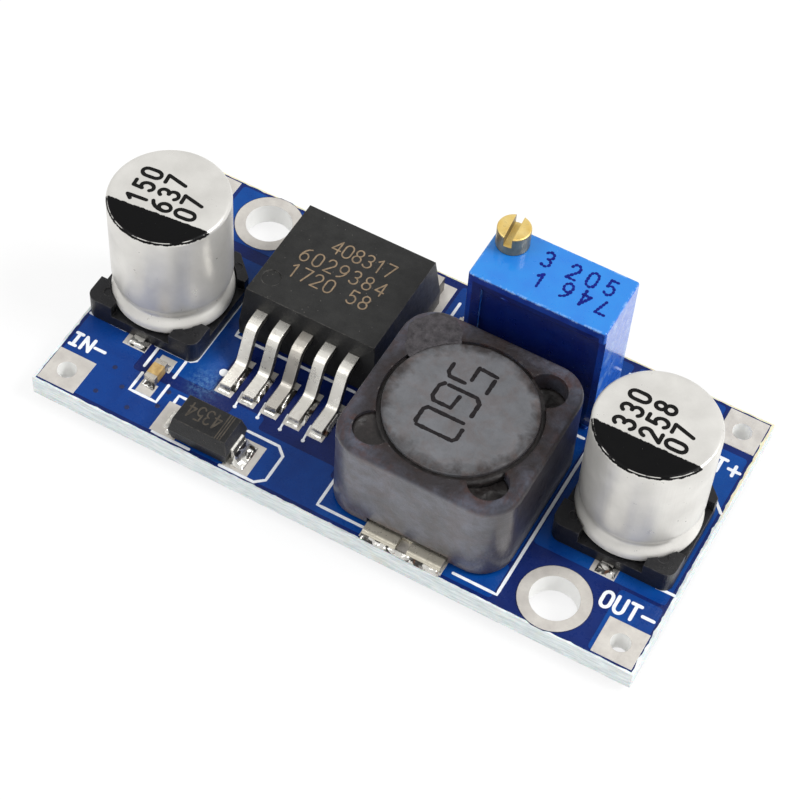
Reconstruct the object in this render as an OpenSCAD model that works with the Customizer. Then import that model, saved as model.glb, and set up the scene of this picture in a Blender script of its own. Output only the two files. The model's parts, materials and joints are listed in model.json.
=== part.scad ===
// Step-down converter module: a small circuit board with a five-lead regulator,
// a shielded inductor, a diode, two can capacitors and a multi-turn trimmer.
// Millimetres. X runs from the input end to the output end, Y from the front
// edge to the back edge, Z up. The origin lies under the middle of the board,
// in the plane of the trimmer's pin tips.

/* [Board] */
// Length of the board, input end to output end
board_l = 43.2; // [43:0.2:56]
// Depth of the board, front edge to back edge
board_w = 21.4; // [21.2:0.2:28]
// Thickness of the laminate
board_t = 1.6; // [0.8:0.1:2.4]
// Thickness of the tinned copper lands
foil_t = 0.05; // [0.03:0.01:0.1]
// Wall of the copper plating inside a drilled hole
plating_t = 0.05; // [0.03:0.01:0.1]

/* [Fixing and wiring] */
// Diameter of the two mounting holes
mount_d = 3.2; // [2.2:0.1:3.4]
// Width of the bare ring round a mounting hole
mount_ring_w = 0.75; // [0.4:0.05:0.8]
// Mounting hole's centre to the end of the board
mount_inset_x = 6.5; // [5.8:0.1:6.8]
// Mounting hole's centre to the side of the board
mount_inset_y = 2.4; // [2.4:0.05:2.6]
// Side of a square wire pad
pad_side = 2.75; // [2:0.05:3]
// Diameter of the hole in a wire pad
wire_hole_d = 1.3; // [0.8:0.1:1.6]
// Wire pad's centre to both edges of the board
pad_inset = 1.65; // [1.6:0.05:1.8]

/* [Can capacitors] */
// Diameter of the aluminium can
can_d = 8; // [7:0.1:8.1]
// Height over the board of the can's top
can_top = 10.2; // [7:0.1:12]
// Side of the square plastic base
base_side = 8.3; // [8.3:0.05:8.6]
// Height of the plastic base under the can
base_t = 0.9; // [0.6:0.05:1.4]
// Height of the base's raised corner blocks
base_corner_h = 1.8; // [1.5:0.05:2.2]
// Room between the can and the corner blocks
base_clearance = 0.08; // [0.05:0.01:0.2]
// Chamfer on the two back corners of the base
base_chamfer = 1.5; // [1:0.1:2]
// Depth of the crimp groove round the can
groove_depth = 0.4; // [0.2:0.05:0.5]
// Height of the rubber bung inside the can
bung_h = 1.4; // [1:0.1:2]
// Diameter of the rubber bung
bung_d = 6.2; // [5:0.1:6.4]
// Distance between the capacitor's two leads
can_lead_pitch = 3.1; // [2.4:0.1:3.6]
// Width of a capacitor's flat lead
can_lead_w = 0.8; // [0.6:0.05:1]
// Thickness of a capacitor's flat lead
can_lead_t = 0.2; // [0.15:0.05:0.3]
// Length of the lead beyond the base
can_lead_out = 0.55; // [0.3:0.05:0.8]
// Room before the input capacitor's base at the input end of the row
input_can_edge = 0.2; // [0.1:0.05:0.6]
// Room behind the output capacitor's base at the output end of the row
output_can_edge = 0.6; // [0.2:0.05:0.8]
// Gap between neighbouring large parts in the row
row_gap = 1.08; // [0.6:0.005:2]
// Capacitors' centre line in front of the board's middle
can_row_offset = 0.35; // [0:0.05:0.6]

/* [Regulator] */
// Width of the regulator's moulded body
reg_w = 10.16; // [9.6:0.02:10.6]
// Depth of the moulded body, front to back
reg_l = 8.9; // [8.4:0.1:9.2]
// Height of the moulded body
reg_h = 4.45; // [4:0.05:4.8]
// How much the body's faces lean in at the top
reg_taper = 0.35; // [0.1:0.05:0.5]
// Gap from the body to the back edge of the board
reg_back = 2.5; // [2.3:0.1:3]
// Thickness of the heat tab
tab_t = 1.27; // [1:0.01:1.4]
// Width of the heat tab
tab_w = 9.6; // [9:0.1:9.8]
// Length of the heat tab behind the body
tab_out = 1.2; // [0.8:0.1:1.4]
// Distance between neighbouring leads
lead_pitch = 1.7; // [1.5:0.05:1.8]
// Width of a regulator lead
lead_w = 0.8; // [0.6:0.05:0.95]
// Thickness of a regulator lead
lead_t = 0.5; // [0.38:0.02:0.6]
// Height of a lead's middle where it leaves the body
lead_rise = 2.8; // [2.4:0.05:3]
// Reach of the leads in front of the body
lead_reach = 4.45; // [4:0.05:4.6]
// Length of a lead's soldered foot
foot_l = 2.1; // [1.6:0.05:2.4]

/* [Inductor] */
// Side of the square ferrite shield
ind_side = 12.4; // [11.8:0.1:12.8]
// Height of the ferrite shield
ind_h = 6.7; // [5:0.1:7.5]
// Radius of the shield's upright corners
ind_corner_r = 2.3; // [1.8:0.1:2.5]
// Rounding of the shield's top edge
ind_edge_r = 0.35; // [0.2:0.05:0.5]
// Gap from the shield to the front edge of the board
ind_front = 1.2; // [1.2:0.05:1.8]
// Diameter of the drum core's flanges
core_d = 9.8; // [9:0.1:10]
// Gap between the drum core and the shield
core_gap = 0.3; // [0.15:0.05:0.4]
// Height of the drum core's top above the shield
core_proud = 0.15; // [0.1:0.05:0.4]
// Thickness of each flange of the drum core
flange_t = 1.2; // [0.8:0.1:1.5]
// Diameter of the post that carries the winding
post_d = 4.6; // [4:0.1:5.4]
// Diameter of the winding wire
coil_wire_d = 0.5; // [0.4:0.05:0.6]
// Diameter of the glue pockets in the shield's corners
pocket_d = 2.6; // [2:0.1:2.8]
// Width of a soldering terminal
ind_term_w = 5.5; // [4.5:0.1:6]
// Thickness of a terminal plate under the shield
ind_term_t = 0.25; // [0.2:0.05:0.35]
// Height of a terminal's folded fingers
finger_h = 0.5; // [0.4:0.05:0.7]

/* [Diode and chips] */
// Length of the diode's body
diode_l = 4.3; // [4:0.1:4.5]
// Width of the diode's body
diode_w = 2.6; // [2.4:0.1:2.8]
// Height of the diode's body
diode_h = 2.15; // [1.9:0.05:2.4]
// Width of the diode's leads
diode_lead_w = 1.4; // [1.2:0.1:1.6]
// Gap from the diode's body to the front edge of the board
diode_front = 0.4; // [0.3:0.05:0.6]
// Length of a ceramic chip capacitor
chip_c_l = 1.6; // [1.4:0.1:2.2]
// Width of a ceramic chip capacitor
chip_c_w = 0.8; // [0.7:0.05:1.3]
// Height of a ceramic chip capacitor
chip_c_h = 0.75; // [0.6:0.05:1]
// Length of a chip resistor
chip_r_l = 1.6; // [1.4:0.1:1.8]
// Width of a chip resistor
chip_r_w = 0.8; // [0.7:0.05:0.9]
// Height of a chip resistor
chip_r_h = 0.45; // [0.35:0.05:0.6]

/* [Trimmer] */
// Length of the trimmer's housing along the board
trim_l = 9.53; // [9:0.01:10]
// Depth of the housing, front to back
trim_w = 4.83; // [4.7:0.01:5.1]
// Height of the housing without its stand-off
trim_h = 10; // [9.6:0.1:10.8]
// Gap between the housing and the board
trim_standoff = 0.4; // [0.2:0.05:0.6]
// Gap between the inductor's shield and the housing
trim_gap = 0.87; // [0.75:0.01:1.1]
// Shift of the trimmer's middle from the inductor's middle
trim_shift = 1.2; // [0.8:0.1:1.4]
// Depth of the sunk field on the housing's front
trim_recess = 0.25; // [0.15:0.05:0.35]
// Width of the rim above and beside the sunk field
trim_rim = 1; // [0.8:0.1:1.2]
// Screw's axis to the housing's left side and back
screw_inset = 1.27; // [1.25:0.01:1.35]
// Diameter of the adjusting screw's head
head_d = 2.2; // [2:0.05:2.3]
// Height of the head over the housing
head_h = 1.5; // [1.2:0.05:1.8]
// Width of the screwdriver slot
slot_w = 0.56; // [0.4:0.02:0.7]
// Depth of the screwdriver slot
slot_depth = 0.76; // [0.5:0.02:0.9]
// Angle of the slot as adjusted, from the Y direction
slot_angle = 5; // [-30:5:30]
// Diameter of the screw's neck in the housing
neck_d = 1.5; // [1.3:0.05:1.6]
// Running gap round the neck, the journal and the pivot
running_gap = 0.04; // [0.03:0.01:0.06]
// Outer diameter of the worm on the screw
worm_d = 1.6; // [1.5:0.05:1.65]
// Height of the worm's thread
thread_h = 0.34; // [0.28:0.02:0.36]
// Teeth on the worm wheel
wheel_teeth = 25; // [24:1:26]
// Thickness of the worm wheel
wheel_t = 0.8; // [0.6:0.05:0.9]
// Width of the ceramic element
element_w = 7.6; // [7:0.1:7.8]
// Thickness of the ceramic element
element_t = 0.6; // [0.5:0.05:0.7]
// Distance between the trimmer's pins
pin_pitch = 2.54; // [2.5:0.02:2.6]
// Diameter of the trimmer's pins
pin_d = 0.5; // [0.4:0.05:0.6]
// Length of the pins below the board
pin_tail = 0.6; // [0.3:0.05:1.2]

/* [Hidden] */
$fn = 48;

// Heights: board's underside, board's top, and the top of its lands
board_z = pin_tail;
top_z = board_z + board_t;
seat_z = top_z + foil_t;

// Row of large parts along the board, centred on it: capacitor, regulator, inductor, capacitor
row_l = input_can_edge + output_can_edge + 2 * base_side + reg_w + ind_side + 3 * row_gap;
input_can_x = -row_l / 2 + input_can_edge + base_side / 2;
reg_x = input_can_x + base_side / 2 + row_gap + reg_w / 2;
ind_x = reg_x + reg_w / 2 + row_gap + ind_side / 2;
output_can_x = ind_x + ind_side / 2 + row_gap + base_side / 2;
can_y = -can_row_offset;
reg_back_y = board_w / 2 - reg_back;
reg_front_y = reg_back_y - reg_l;
ind_y = -board_w / 2 + ind_front + ind_side / 2;

// Fixing and wiring points
mount_points = [[-board_l / 2 + mount_inset_x, board_w / 2 - mount_inset_y],
                [board_l / 2 - mount_inset_x, -board_w / 2 + mount_inset_y]];
pad_x = board_l / 2 - pad_inset;
pad_y = board_w / 2 - pad_inset;

// Can capacitors
can_r = can_d / 2;
can_edge_r = 0.45;
bead_r = 0.5;
bead_proud = 0.08;
groove_r = 0.7;
can_lead_end = base_side / 2 + can_lead_out;
block_window = 4.4;
base_round = 0.7;
block_dimple_d = 0.7;
block_dimple_in = 1.1;

// Lands under the soldered feet, and the clearance round the mounting rings
can_land_w = can_lead_w + 0.9;
can_land_in = 1.5;
land_margin = 0.3;
lead_land_w = 1.22;
lead_land_l = 3.25;
lead_land_out = 0.42;
tab_land_w = tab_w + 0.9;
tab_land_l = 8.2;
tab_land_shift = 0.3;
tab_land_out = 0.5;
ind_land_w = ind_term_w + 0.25;
ind_land_l = 3.2;
ind_land_out = 0.95;
diode_land_w = 2.5;
diode_land_l = 1.85;
diode_land_x = diode_l / 2 + 0.55;
chip_c_land_l = 1;
chip_c_land_out = 0.35;
chip_c_land_side = 0.17;
chip_r_land_l = 0.8;
chip_r_land_out = 0.05;
pin_barrel_d = pin_d + 0.4;
pin_land_d = pin_barrel_d + 0.8;
land_clearance = 0.2;

// Regulator leads
lead_in = 1;
lead_bend_r = 0.55;
lead_drop = 1.05;
foot_start = lead_reach - foot_l;
tab_in = 2.6;
mid_lead_in = 3.4;
mid_lead_bend = 2.2;
dimple_d = 1.3;
dimple_depth = 0.06;
dimple_in_x = 1.3;
dimple_in_y = 1.95;

// Inductor
shield_z = seat_z + ind_term_t;
core_z = shield_z;
core_h = ind_h + core_proud;
shield_hole_d = core_d + 2 * core_gap;
pocket_out = 0.35;
pocket_at = (shield_hole_d / 2 + pocket_out) * [1, 1] / sqrt(2);
coil_inset = 0.35;
coil_turns = floor((core_h - 2 * flange_t) / coil_wire_d);
finger_w = ind_term_w * 0.43;
finger_out = 0.6;
tongue_l = 3.4;
tongue_in = 0.15;
notch_clearance = 0.1;

// Diode and chips
diode_shift = 2.35;
diode_x = reg_x - diode_shift;
diode_y = -board_w / 2 + diode_front + diode_w / 2;
diode_lead_t = 0.22;
diode_lead_in = 0.8;
diode_lead_fold = 1.1;
diode_taper = 0.25;
chip_c_shift = 2.5;
chip_c_gap = 1.2;
chip_c_x = input_can_x + chip_c_shift;
chip_c_y = can_y - base_side / 2 - chip_c_gap - chip_c_l / 2;
chip_end_t = 0.35;
cap_wall = 0.04;

// Trimmer, worked out from the screw's axis and the worm drive
trim_x = ind_x + trim_shift;
trim_left = trim_x - trim_l / 2;
trim_front_y = ind_y + ind_side / 2 + trim_gap;
trim_back_y = trim_front_y + trim_w;
trim_z = top_z + trim_standoff;
screw_x = trim_left + screw_inset;
screw_y = trim_back_y - screw_inset;
trim_roof = 1.7;
neck_wall_h = 0.9;
seal_wire_d = 0.3;
seal_clearance = 0.03;
cavity_gap = 0.08;
screw_top = trim_z + trim_h;
base_plug_h = 1.4;
journal_d = 0.8;
journal_h = 0.6;
worm_mesh_gap = 0.07;
wheel_outer_r = (trim_l / 2 - screw_inset) - (worm_d / 2 - thread_h) - worm_mesh_gap;
wheel_pitch_r = wheel_outer_r - thread_h / 2;
wheel_x = trim_x;
worm_lead = 2 * PI * wheel_pitch_r / wheel_teeth;
wheel_z = trim_z + base_plug_h + wheel_outer_r + 0.35;
worm_turns = 4;
worm_h = worm_turns * worm_lead;
worm_z = wheel_z - worm_h / 2;
shaft_z = trim_z + base_plug_h - journal_h;
pivot_d = 1.4;
foot_d = 0.5;
foot_inset = 0.45;
pin_y = trim_front_y + trim_w / 2;
element_y = pin_y - pin_d / 2 - element_t;
element_h = trim_h - trim_roof - base_plug_h;
wiper_t = 0.15;
wiper_d = 3.4;
wiper_arm_w = 1;
wiper_arm_l = 2.6;
finger_tip_w = 0.3;
finger_tip_l = 0.4;
contact_gap = 0.02;
wheel_back_gap = 0.12;
cavity_back_y = screw_y + wheel_t / 2 + wheel_back_gap;
neck_z = screw_top - trim_roof - 0.3;
seal_z = screw_top - neck_wall_h - seal_wire_d / 2 - 0.1;

// Chip resistor between the regulator and the trimmer
chip_r_shift = 0.45;
chip_r_inset = 3.9;
chip_r_x = (reg_x + reg_w / 2 + trim_left) / 2 + chip_r_shift;
chip_r_y = board_w / 2 - chip_r_inset;

// ---------------------------------------------------------------- helpers

// Section of a block, rounded by e at its two top corners
module edge_profile(w, h, e) {
    translate([-w / 2, 0]) square([w, h - e]);
    translate([-w / 2 + e, 0]) square([w - 2 * e, h]);
    for (s = [-1, 1]) translate([s * (w / 2 - e), h - e]) circle(e);
}

// Block w by l by h, with upright corners of radius r and a top edge rounded by e
module soft_block(w, l, h, r, e) {
    translate([0, l / 2 - r, 0]) rotate([90, 0, 0]) linear_extrude(l - 2 * r) edge_profile(w, h, e);
    rotate(90) translate([0, w / 2 - r, 0]) rotate([90, 0, 0])
        linear_extrude(w - 2 * r) edge_profile(l, h, e);
    for (sx = [-1, 1], sy = [-1, 1]) translate([sx * (w / 2 - r), sy * (l / 2 - r), 0])
        rotate_extrude() intersection() {
            edge_profile(2 * r, h, e);
            square([r, h]);
        }
}

// Flat land of tinned copper on the board's top, w by l about x, y
module land(x, y, w, l) {
    translate([x - w / 2, y - l / 2, top_z]) cube([w, l, foil_t]);
}

// Plated hole of bore d, with the same land, given as a child, above and below
module eyelet(d) {
    difference() {
        union() {
            translate([0, 0, board_z]) cylinder(d = d + 2 * plating_t, h = board_t);
            for (z = [board_z - foil_t, top_z]) translate([0, 0, z]) linear_extrude(foil_t) children();
        }
        translate([0, 0, board_z - 1]) cylinder(d = d, h = board_t + 2);
    }
}

// Path through points, with each inner corner rounded over a length d
function rounded(p, d) = [
    p[0],
    for (i = [1 : len(p) - 2])
        let (a = p[i] + d * (p[i - 1] - p[i]) / norm(p[i - 1] - p[i]),
             b = p[i] + d * (p[i + 1] - p[i]) / norm(p[i + 1] - p[i]))
            for (k = [0 : 6]) let (t = k / 6) (1 - t) * (1 - t) * a + 2 * t * (1 - t) * p[i] + t * t * b,
    p[len(p) - 1],
];

// Line beside a path, at distance s
function beside(p, s) = [
    for (i = [0 : len(p) - 1])
        let (a = p[max(i - 1, 0)], b = p[min(i + 1, len(p) - 1)], d = (b - a) / norm(b - a))
            p[i] + s * [-d[1], d[0]],
];

// Strip of thickness t and width w, bent along a path of [forward, height]
module bent_strip(points, t, w, bend) {
    path = rounded(points, bend);
    line = concat(beside(path, t / 2), [for (i = [len(path) - 1 : -1 : 0]) beside(path, -t / 2)[i]]);
    translate([-w / 2, 0, 0]) rotate([90, 0, 0]) rotate([0, 90, 0])
        linear_extrude(w) mirror([1, 0]) polygon(line);
}

// ------------------------------------------------------------------ board

module printed_circuit_board() {
    color("#0b3a8c") difference() {
        translate([-board_l / 2, -board_w / 2, board_z]) cube([board_l, board_w, board_t]);
        for (p = mount_points) drill(p, mount_d + 2 * plating_t);
        for (sx = [-1, 1], sy = [-1, 1]) drill([sx * pad_x, sy * pad_y], wire_hole_d + 2 * plating_t);
        for (i = [-1, 0, 1]) drill([trim_x + i * pin_pitch, pin_y], pin_barrel_d);
    }
}
module drill(p, d) {
    translate([p[0], p[1], board_z - 1]) cylinder(d = d, h = board_t + 2);
}

module wire_pad(sx, sy) {
    color("#c9c3c0") translate([sx * pad_x, sy * pad_y, 0])
        eyelet(wire_hole_d) square(pad_side, center = true);
}
module input_negative_pad() wire_pad(-1, -1);
module input_positive_pad() wire_pad(-1, 1);
module output_negative_pad() wire_pad(1, -1);
module output_positive_pad() wire_pad(1, 1);

module mounting_ring(p) {
    color("#c9c3c0") translate([p[0], p[1], 0]) eyelet(mount_d) circle(d = mount_d + 2 * mount_ring_w);
}
module back_mounting_ring() mounting_ring(mount_points[0]);
module front_mounting_ring() mounting_ring(mount_points[1]);

// Lands under the soldered feet of every surface-mounted part
module component_lands() {
    color("#c9c3c0") {
        for (x = [input_can_x, output_can_x], s = [-1, 1]) {
            land_l = can_lead_end + land_margin - can_land_in;
            land(x, can_y + s * (can_land_in + land_l / 2), can_land_w, land_l);
        }
        for (i = [-2 : 2])
            land(reg_x + i * lead_pitch, reg_front_y - lead_reach - lead_land_out + lead_land_l / 2,
                 lead_land_w, lead_land_l);
        difference() {
            land(reg_x + tab_land_shift, reg_back_y + tab_out + tab_land_out - tab_land_l / 2,
                 tab_land_w, tab_land_l);
            for (p = mount_points) drill(p, mount_d + 2 * mount_ring_w + 2 * land_clearance);
        }
        for (s = [-1, 1]) {
            land(ind_x, ind_y + s * (ind_side / 2 + ind_land_out - ind_land_l / 2), ind_land_w, ind_land_l);
            land(diode_x + s * diode_land_x, diode_y, diode_land_l, diode_land_w);
            land(chip_c_x, chip_c_y + s * (chip_c_l / 2 + chip_c_land_out),
                chip_c_w + 2 * chip_c_land_side, chip_c_land_l);
            land(chip_r_x, chip_r_y + s * (chip_r_l / 2 + chip_r_land_out), chip_r_w, chip_r_land_l);
        }
        for (i = [-1, 0, 1]) translate([trim_x + i * pin_pitch, pin_y, 0])
            eyelet(pin_barrel_d - 2 * plating_t) circle(d = pin_land_d);
    }
}

// Concave fillet of solder, r high and r long, w wide, rising towards +Y
module fillet(w, r) {
    translate([-w / 2, -r, 0]) rotate([90, 0, 90]) linear_extrude(w) difference() {
        square([r, r]);
        translate([0, r]) circle(r);
    }
}

module solder_joints() {
    color("#b9b9b6") {
        for (i = [-2 : 2]) translate([reg_x + i * lead_pitch, reg_front_y - lead_reach, seat_z])
            fillet(lead_w, lead_land_out * 0.9);
        for (x = [input_can_x, output_can_x], s = [0, 1]) translate([x, can_y, seat_z])
            rotate(180 * s) translate([0, -can_lead_end, 0]) fillet(can_lead_w, can_lead_t);
        for (s = [0, 1]) translate([chip_c_x, chip_c_y, seat_z])
            rotate(180 * s) translate([0, -chip_c_l / 2, 0]) fillet(chip_c_w * 0.9, chip_c_h * 0.45);
        for (s = [0, 1]) translate([chip_r_x, chip_r_y, seat_z])
            rotate(180 * s) translate([0, -chip_r_l / 2, 0]) fillet(chip_r_w * 0.9, chip_r_h * 0.8);
        for (s = [1, 3]) translate([diode_x, diode_y, seat_z])
            rotate(90 * s) translate([0, -diode_l / 2 - diode_lead_t, 0]) fillet(diode_lead_w, 0.6);
        for (i = [-1, 0, 1]) translate([trim_x + i * pin_pitch, pin_y, 0]) pin_joint();
    }
}

// Solder that fills the plated hole round a pin and cones down to its tip
module pin_joint() {
    cone_h = (pin_tail - foil_t) * 0.8;
    difference() {
        union() {
            translate([0, 0, board_z]) cylinder(d = pin_barrel_d - 2 * plating_t, h = board_t);
            translate([0, 0, board_z - foil_t]) cylinder(d = pin_barrel_d - 2 * plating_t, h = foil_t);
            translate([0, 0, board_z - foil_t - cone_h])
                cylinder(d1 = pin_d + 0.1, d2 = pin_land_d - 0.1, h = cone_h);
        }
        cylinder(d = pin_d, h = top_z + 1);
    }
}

// ------------------------------------------------------- can capacitors

// Outline of the can's half section: closed top, crimp groove and rolled bead
module can_section() {
    bottom = base_t;
    difference() {
        union() {
            intersection() {
                translate([0, bottom]) edge_profile(can_d, can_top - bottom, can_edge_r);
                square([can_r, can_top]);
            }
            translate([can_r + bead_proud - bead_r, bottom + bead_r]) circle(bead_r);
        }
        translate([can_r - groove_depth + groove_r, bottom + 2 * bead_r + groove_r * 0.75])
            circle(groove_r);
        translate([can_r + bead_proud - bead_r, bottom - 1]) square([2, 1 + bead_r * 0.4]);
        translate([-1, bottom - 1]) square([1 + bung_d / 2, 1 + bung_h]);
    }
}

module capacitor_can(x) {
    color("#c4c6c8") translate([x, can_y, seat_z]) rotate_extrude() can_section();
}

module capacitor_bung(x) {
    color("#2b2b2b") translate([x, can_y, seat_z]) difference() {
        translate([0, 0, base_t]) cylinder(d = bung_d, h = bung_h);
        lead_wires();
    }
}
module lead_wires() {
    for (s = [-1, 1]) translate([0, s * can_lead_pitch / 2, 0])
        cylinder(d = can_lead_w * 0.8, h = base_t + bung_h);
}
module lead_foot(s) {
    inner = can_lead_pitch / 2 - can_lead_w * 0.4;
    translate([-can_lead_w / 2, s > 0 ? inner : -can_lead_end, 0])
        cube([can_lead_w, can_lead_end - inner, can_lead_t]);
}

// Base: a plate with raised corner blocks that hold the can's bead, front corners
// rounded and back corners chamfered
module capacitor_base(x) {
    h = base_side / 2;
    c = base_chamfer;
    r = base_round;
    color("#17181a") translate([x, can_y, seat_z]) difference() {
        linear_extrude(base_corner_h) polygon(concat(
            [[-h, h - c], [-h + c, h], [h - c, h], [h, h - c]],
            [for (a = [0 : -15 : -90]) [h - r, -h + r] + r * [cos(a), sin(a)]],
            [for (a = [-90 : -15 : -180]) [-h + r, -h + r] + r * [cos(a), sin(a)]]));
        translate([0, 0, base_t]) cylinder(r = can_r + bead_proud + base_clearance, h = base_corner_h);
        for (a = [0, 90]) rotate(a) translate([-h - 1, -block_window / 2, base_t])
            cube([base_side + 2, block_window, base_corner_h]);
        for (sx = [-1, 1], sy = [-1, 1])
            translate([sx * (h - block_dimple_in), sy * (h - block_dimple_in), base_corner_h - 0.08])
                cylinder(d = block_dimple_d, h = 1);
        lead_wires();
        for (s = [-1, 1]) lead_foot(s);
    }
}

module capacitor_lead(x, s) {
    color("#c9c9c9") translate([x, can_y, seat_z]) {
        lead_foot(s);
        translate([0, s * can_lead_pitch / 2, 0]) cylinder(d = can_lead_w * 0.8, h = base_t + bung_h);
    }
}
module input_capacitor_can() capacitor_can(input_can_x);
module input_capacitor_bung() capacitor_bung(input_can_x);
module input_capacitor_base() capacitor_base(input_can_x);
module input_capacitor_front_lead() capacitor_lead(input_can_x, -1);
module input_capacitor_back_lead() capacitor_lead(input_can_x, 1);
module output_capacitor_can() capacitor_can(output_can_x);
module output_capacitor_bung() capacitor_bung(output_can_x);
module output_capacitor_base() capacitor_base(output_can_x);
module output_capacitor_front_lead() capacitor_lead(output_can_x, -1);
module output_capacitor_back_lead() capacitor_lead(output_can_x, 1);

// -------------------------------------------------------------- regulator

// One lead: out of the body, down and flat along its land
module gull_lead(i, start) {
    translate([reg_x + i * lead_pitch, reg_front_y, seat_z])
        bent_strip(concat(start, [[lead_drop, lead_rise], [foot_start, lead_t / 2],
                                  [lead_reach, lead_t / 2]]), lead_t, lead_w, lead_bend_r);
}
module regulator_lead(i) {
    color("#c8c6bf") gull_lead(i, [[-lead_in, lead_rise]]);
}
module regulator_lead_1() regulator_lead(-2);
module regulator_lead_2() regulator_lead(-1);
module regulator_lead_4() regulator_lead(1);
module regulator_lead_5() regulator_lead(2);

// Heat tab, which is one sheet with the middle lead
module regulator_heat_tab() {
    color("#c8c6bf") {
        translate([reg_x - tab_w / 2, reg_front_y + tab_in, seat_z])
            cube([tab_w, reg_l - tab_in + tab_out, tab_t]);
        gull_lead(0, [[-mid_lead_in, tab_t / 2], [-mid_lead_bend, lead_rise]]);
    }
}

module regulator_body() {
    color("#2a2a2c") difference() {
        translate([reg_x, reg_front_y + reg_l / 2, seat_z]) intersection() {
            translate([0, reg_l / 2, 0]) rotate([90, 0, 0]) linear_extrude(reg_l)
                polygon(tapered(reg_w / 2, reg_taper));
            translate([-reg_w / 2, 0, 0]) rotate([90, 0, 90]) linear_extrude(reg_w)
                polygon(tapered(reg_l / 2, reg_taper));
        }
        translate([reg_x - reg_w / 2 + dimple_in_x, reg_front_y + dimple_in_y,
                   seat_z + reg_h - dimple_depth])
            cylinder(d = dimple_d, h = 1);
        regulator_heat_tab();
        for (i = [-2, -1, 1, 2]) regulator_lead(i);
    }
}
// Section of a moulded body: upright to the tab's top, then leaning in by t
function tapered(h, t) = [[-h, 0], [h, 0], [h, tab_t], [h - t, reg_h], [-h + t, reg_h], [-h, tab_t]];

// --------------------------------------------------------------- inductor

module pockets(d, h) {
    for (a = [0 : 90 : 270]) rotate(a) translate([pocket_at[0], pocket_at[1], 0]) cylinder(d = d, h = h);
}

module inductor_shield() {
    color("#565458") translate([ind_x, ind_y, shield_z]) difference() {
        soft_block(ind_side, ind_side, ind_h, ind_corner_r, ind_edge_r);
        translate([0, 0, -1]) cylinder(d = shield_hole_d, h = ind_h + 2);
        translate([0, 0, -1]) pockets(pocket_d, ind_h + 2);
        for (s = [-1, 1]) translate([-ind_term_w / 2 - notch_clearance, s * ind_side / 2 - 0.5, -1])
            cube([ind_term_w + 2 * notch_clearance, 1, 1 + finger_h]);
    }
}

module inductor_core() {
    color("#626166") translate([ind_x, ind_y, core_z]) {
        cylinder(d = core_d, h = flange_t);
        cylinder(d = post_d, h = core_h);
        translate([0, 0, core_h - flange_t]) rotate_extrude() intersection() {
            edge_profile(core_d, flange_t, 0.15);
            square([core_d / 2, flange_t]);
        }
    }
}

// Winding: one solid with the ridges of its outer layer of turns
module inductor_winding() {
    outer_r = core_d / 2 - coil_inset;
    h = core_h - 2 * flange_t;
    color("#9a5a2c") translate([ind_x, ind_y, core_z + flange_t]) rotate_extrude() {
        translate([post_d / 2, 0]) square([outer_r - coil_wire_d / 2 - post_d / 2, h]);
        for (i = [0 : coil_turns - 1])
            translate([outer_r - coil_wire_d / 2, (i + 0.5) * h / coil_turns])
                circle(d = coil_wire_d * 0.98);
    }
}

// Glue in the corner pockets, filled to different depths
module inductor_glue() {
    depths = [1.1, 0.05, 0.8, 1.3];
    color("#2c2a2b") translate([ind_x, ind_y, shield_z]) for (k = [0 : 3]) rotate(45 + 90 * k)
        intersection() {
            difference() {
                translate([norm(pocket_at), 0, 0]) cylinder(d = pocket_d, h = ind_h - depths[k]);
                translate([0, 0, -1]) cylinder(d = core_d, h = ind_h + 2);
            }
            translate([shield_hole_d / 2 - core_gap, -pocket_d, 0])
                cube([pocket_d + 1, 2 * pocket_d, ind_h]);
        }
}

module inductor_terminal(s) {
    color("#b8b3a2") translate([ind_x, ind_y, seat_z]) facing(s) {
        translate([-ind_term_w / 2, -ind_side / 2 + tongue_in, 0])
            cube([ind_term_w, tongue_l, ind_term_t]);
        for (k = [-1, 1]) translate([k * (ind_term_w - finger_w) / 2, -ind_side / 2, 0]) {
            translate([-finger_w / 2, -finger_out, 0])
                cube([finger_w, finger_out + 2 * tongue_in, ind_term_t]);
            translate([0, -finger_out, finger_h / 2]) rotate([0, 90, 0])
                cylinder(d = finger_h, h = finger_w, center = true);
            translate([-finger_w / 2, -finger_out, 0]) cube([finger_w, finger_out - 0.02, finger_h]);
        }
    }
}
// Front piece for s = 1, and its mirror image at the back for s = -1
module facing(s) {
    if (s > 0) children();
    else mirror([0, 1, 0]) children();
}
module inductor_front_terminal() inductor_terminal(1);
module inductor_back_terminal() inductor_terminal(-1);

// -------------------------------------------------------- diode and chips

module diode_body() {
    w = diode_w / 2;
    color("#232324") difference() {
        translate([diode_x, diode_y, seat_z]) intersection() {
            translate([0, w, 0]) rotate([90, 0, 0]) linear_extrude(diode_w)
                polygon(waisted(diode_l / 2));
            translate([-diode_l / 2, 0, 0]) rotate([90, 0, 90]) linear_extrude(diode_l)
                polygon(waisted(w));
        }
        for (s = [-1, 1]) diode_lead(s);
    }
}
// Section of a body that is widest at mid height and leans in above and below
function waisted(h) = let (m = diode_h * 0.5, t = diode_taper)
    [[-h + t * 0.6, 0.1], [h - t * 0.6, 0.1], [h, m], [h - t, diode_h], [-h + t, diode_h], [-h, m]];

// Lead that leaves the body at mid height, drops down its end and folds under it
module diode_lead(s) {
    t = diode_lead_t;
    e = diode_l / 2;
    color("#c8c6bf") translate([diode_x, diode_y, seat_z]) rotate(s > 0 ? 90 : -90)
        bent_strip([[e - diode_lead_in, diode_h * 0.5], [e + t / 2, diode_h * 0.5], [e + t / 2, t / 2],
                    [e - diode_lead_fold, t / 2]], t, diode_lead_w, 0.9 * t);
}
module diode_left_lead() diode_lead(-1);
module diode_right_lead() diode_lead(1);

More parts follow.
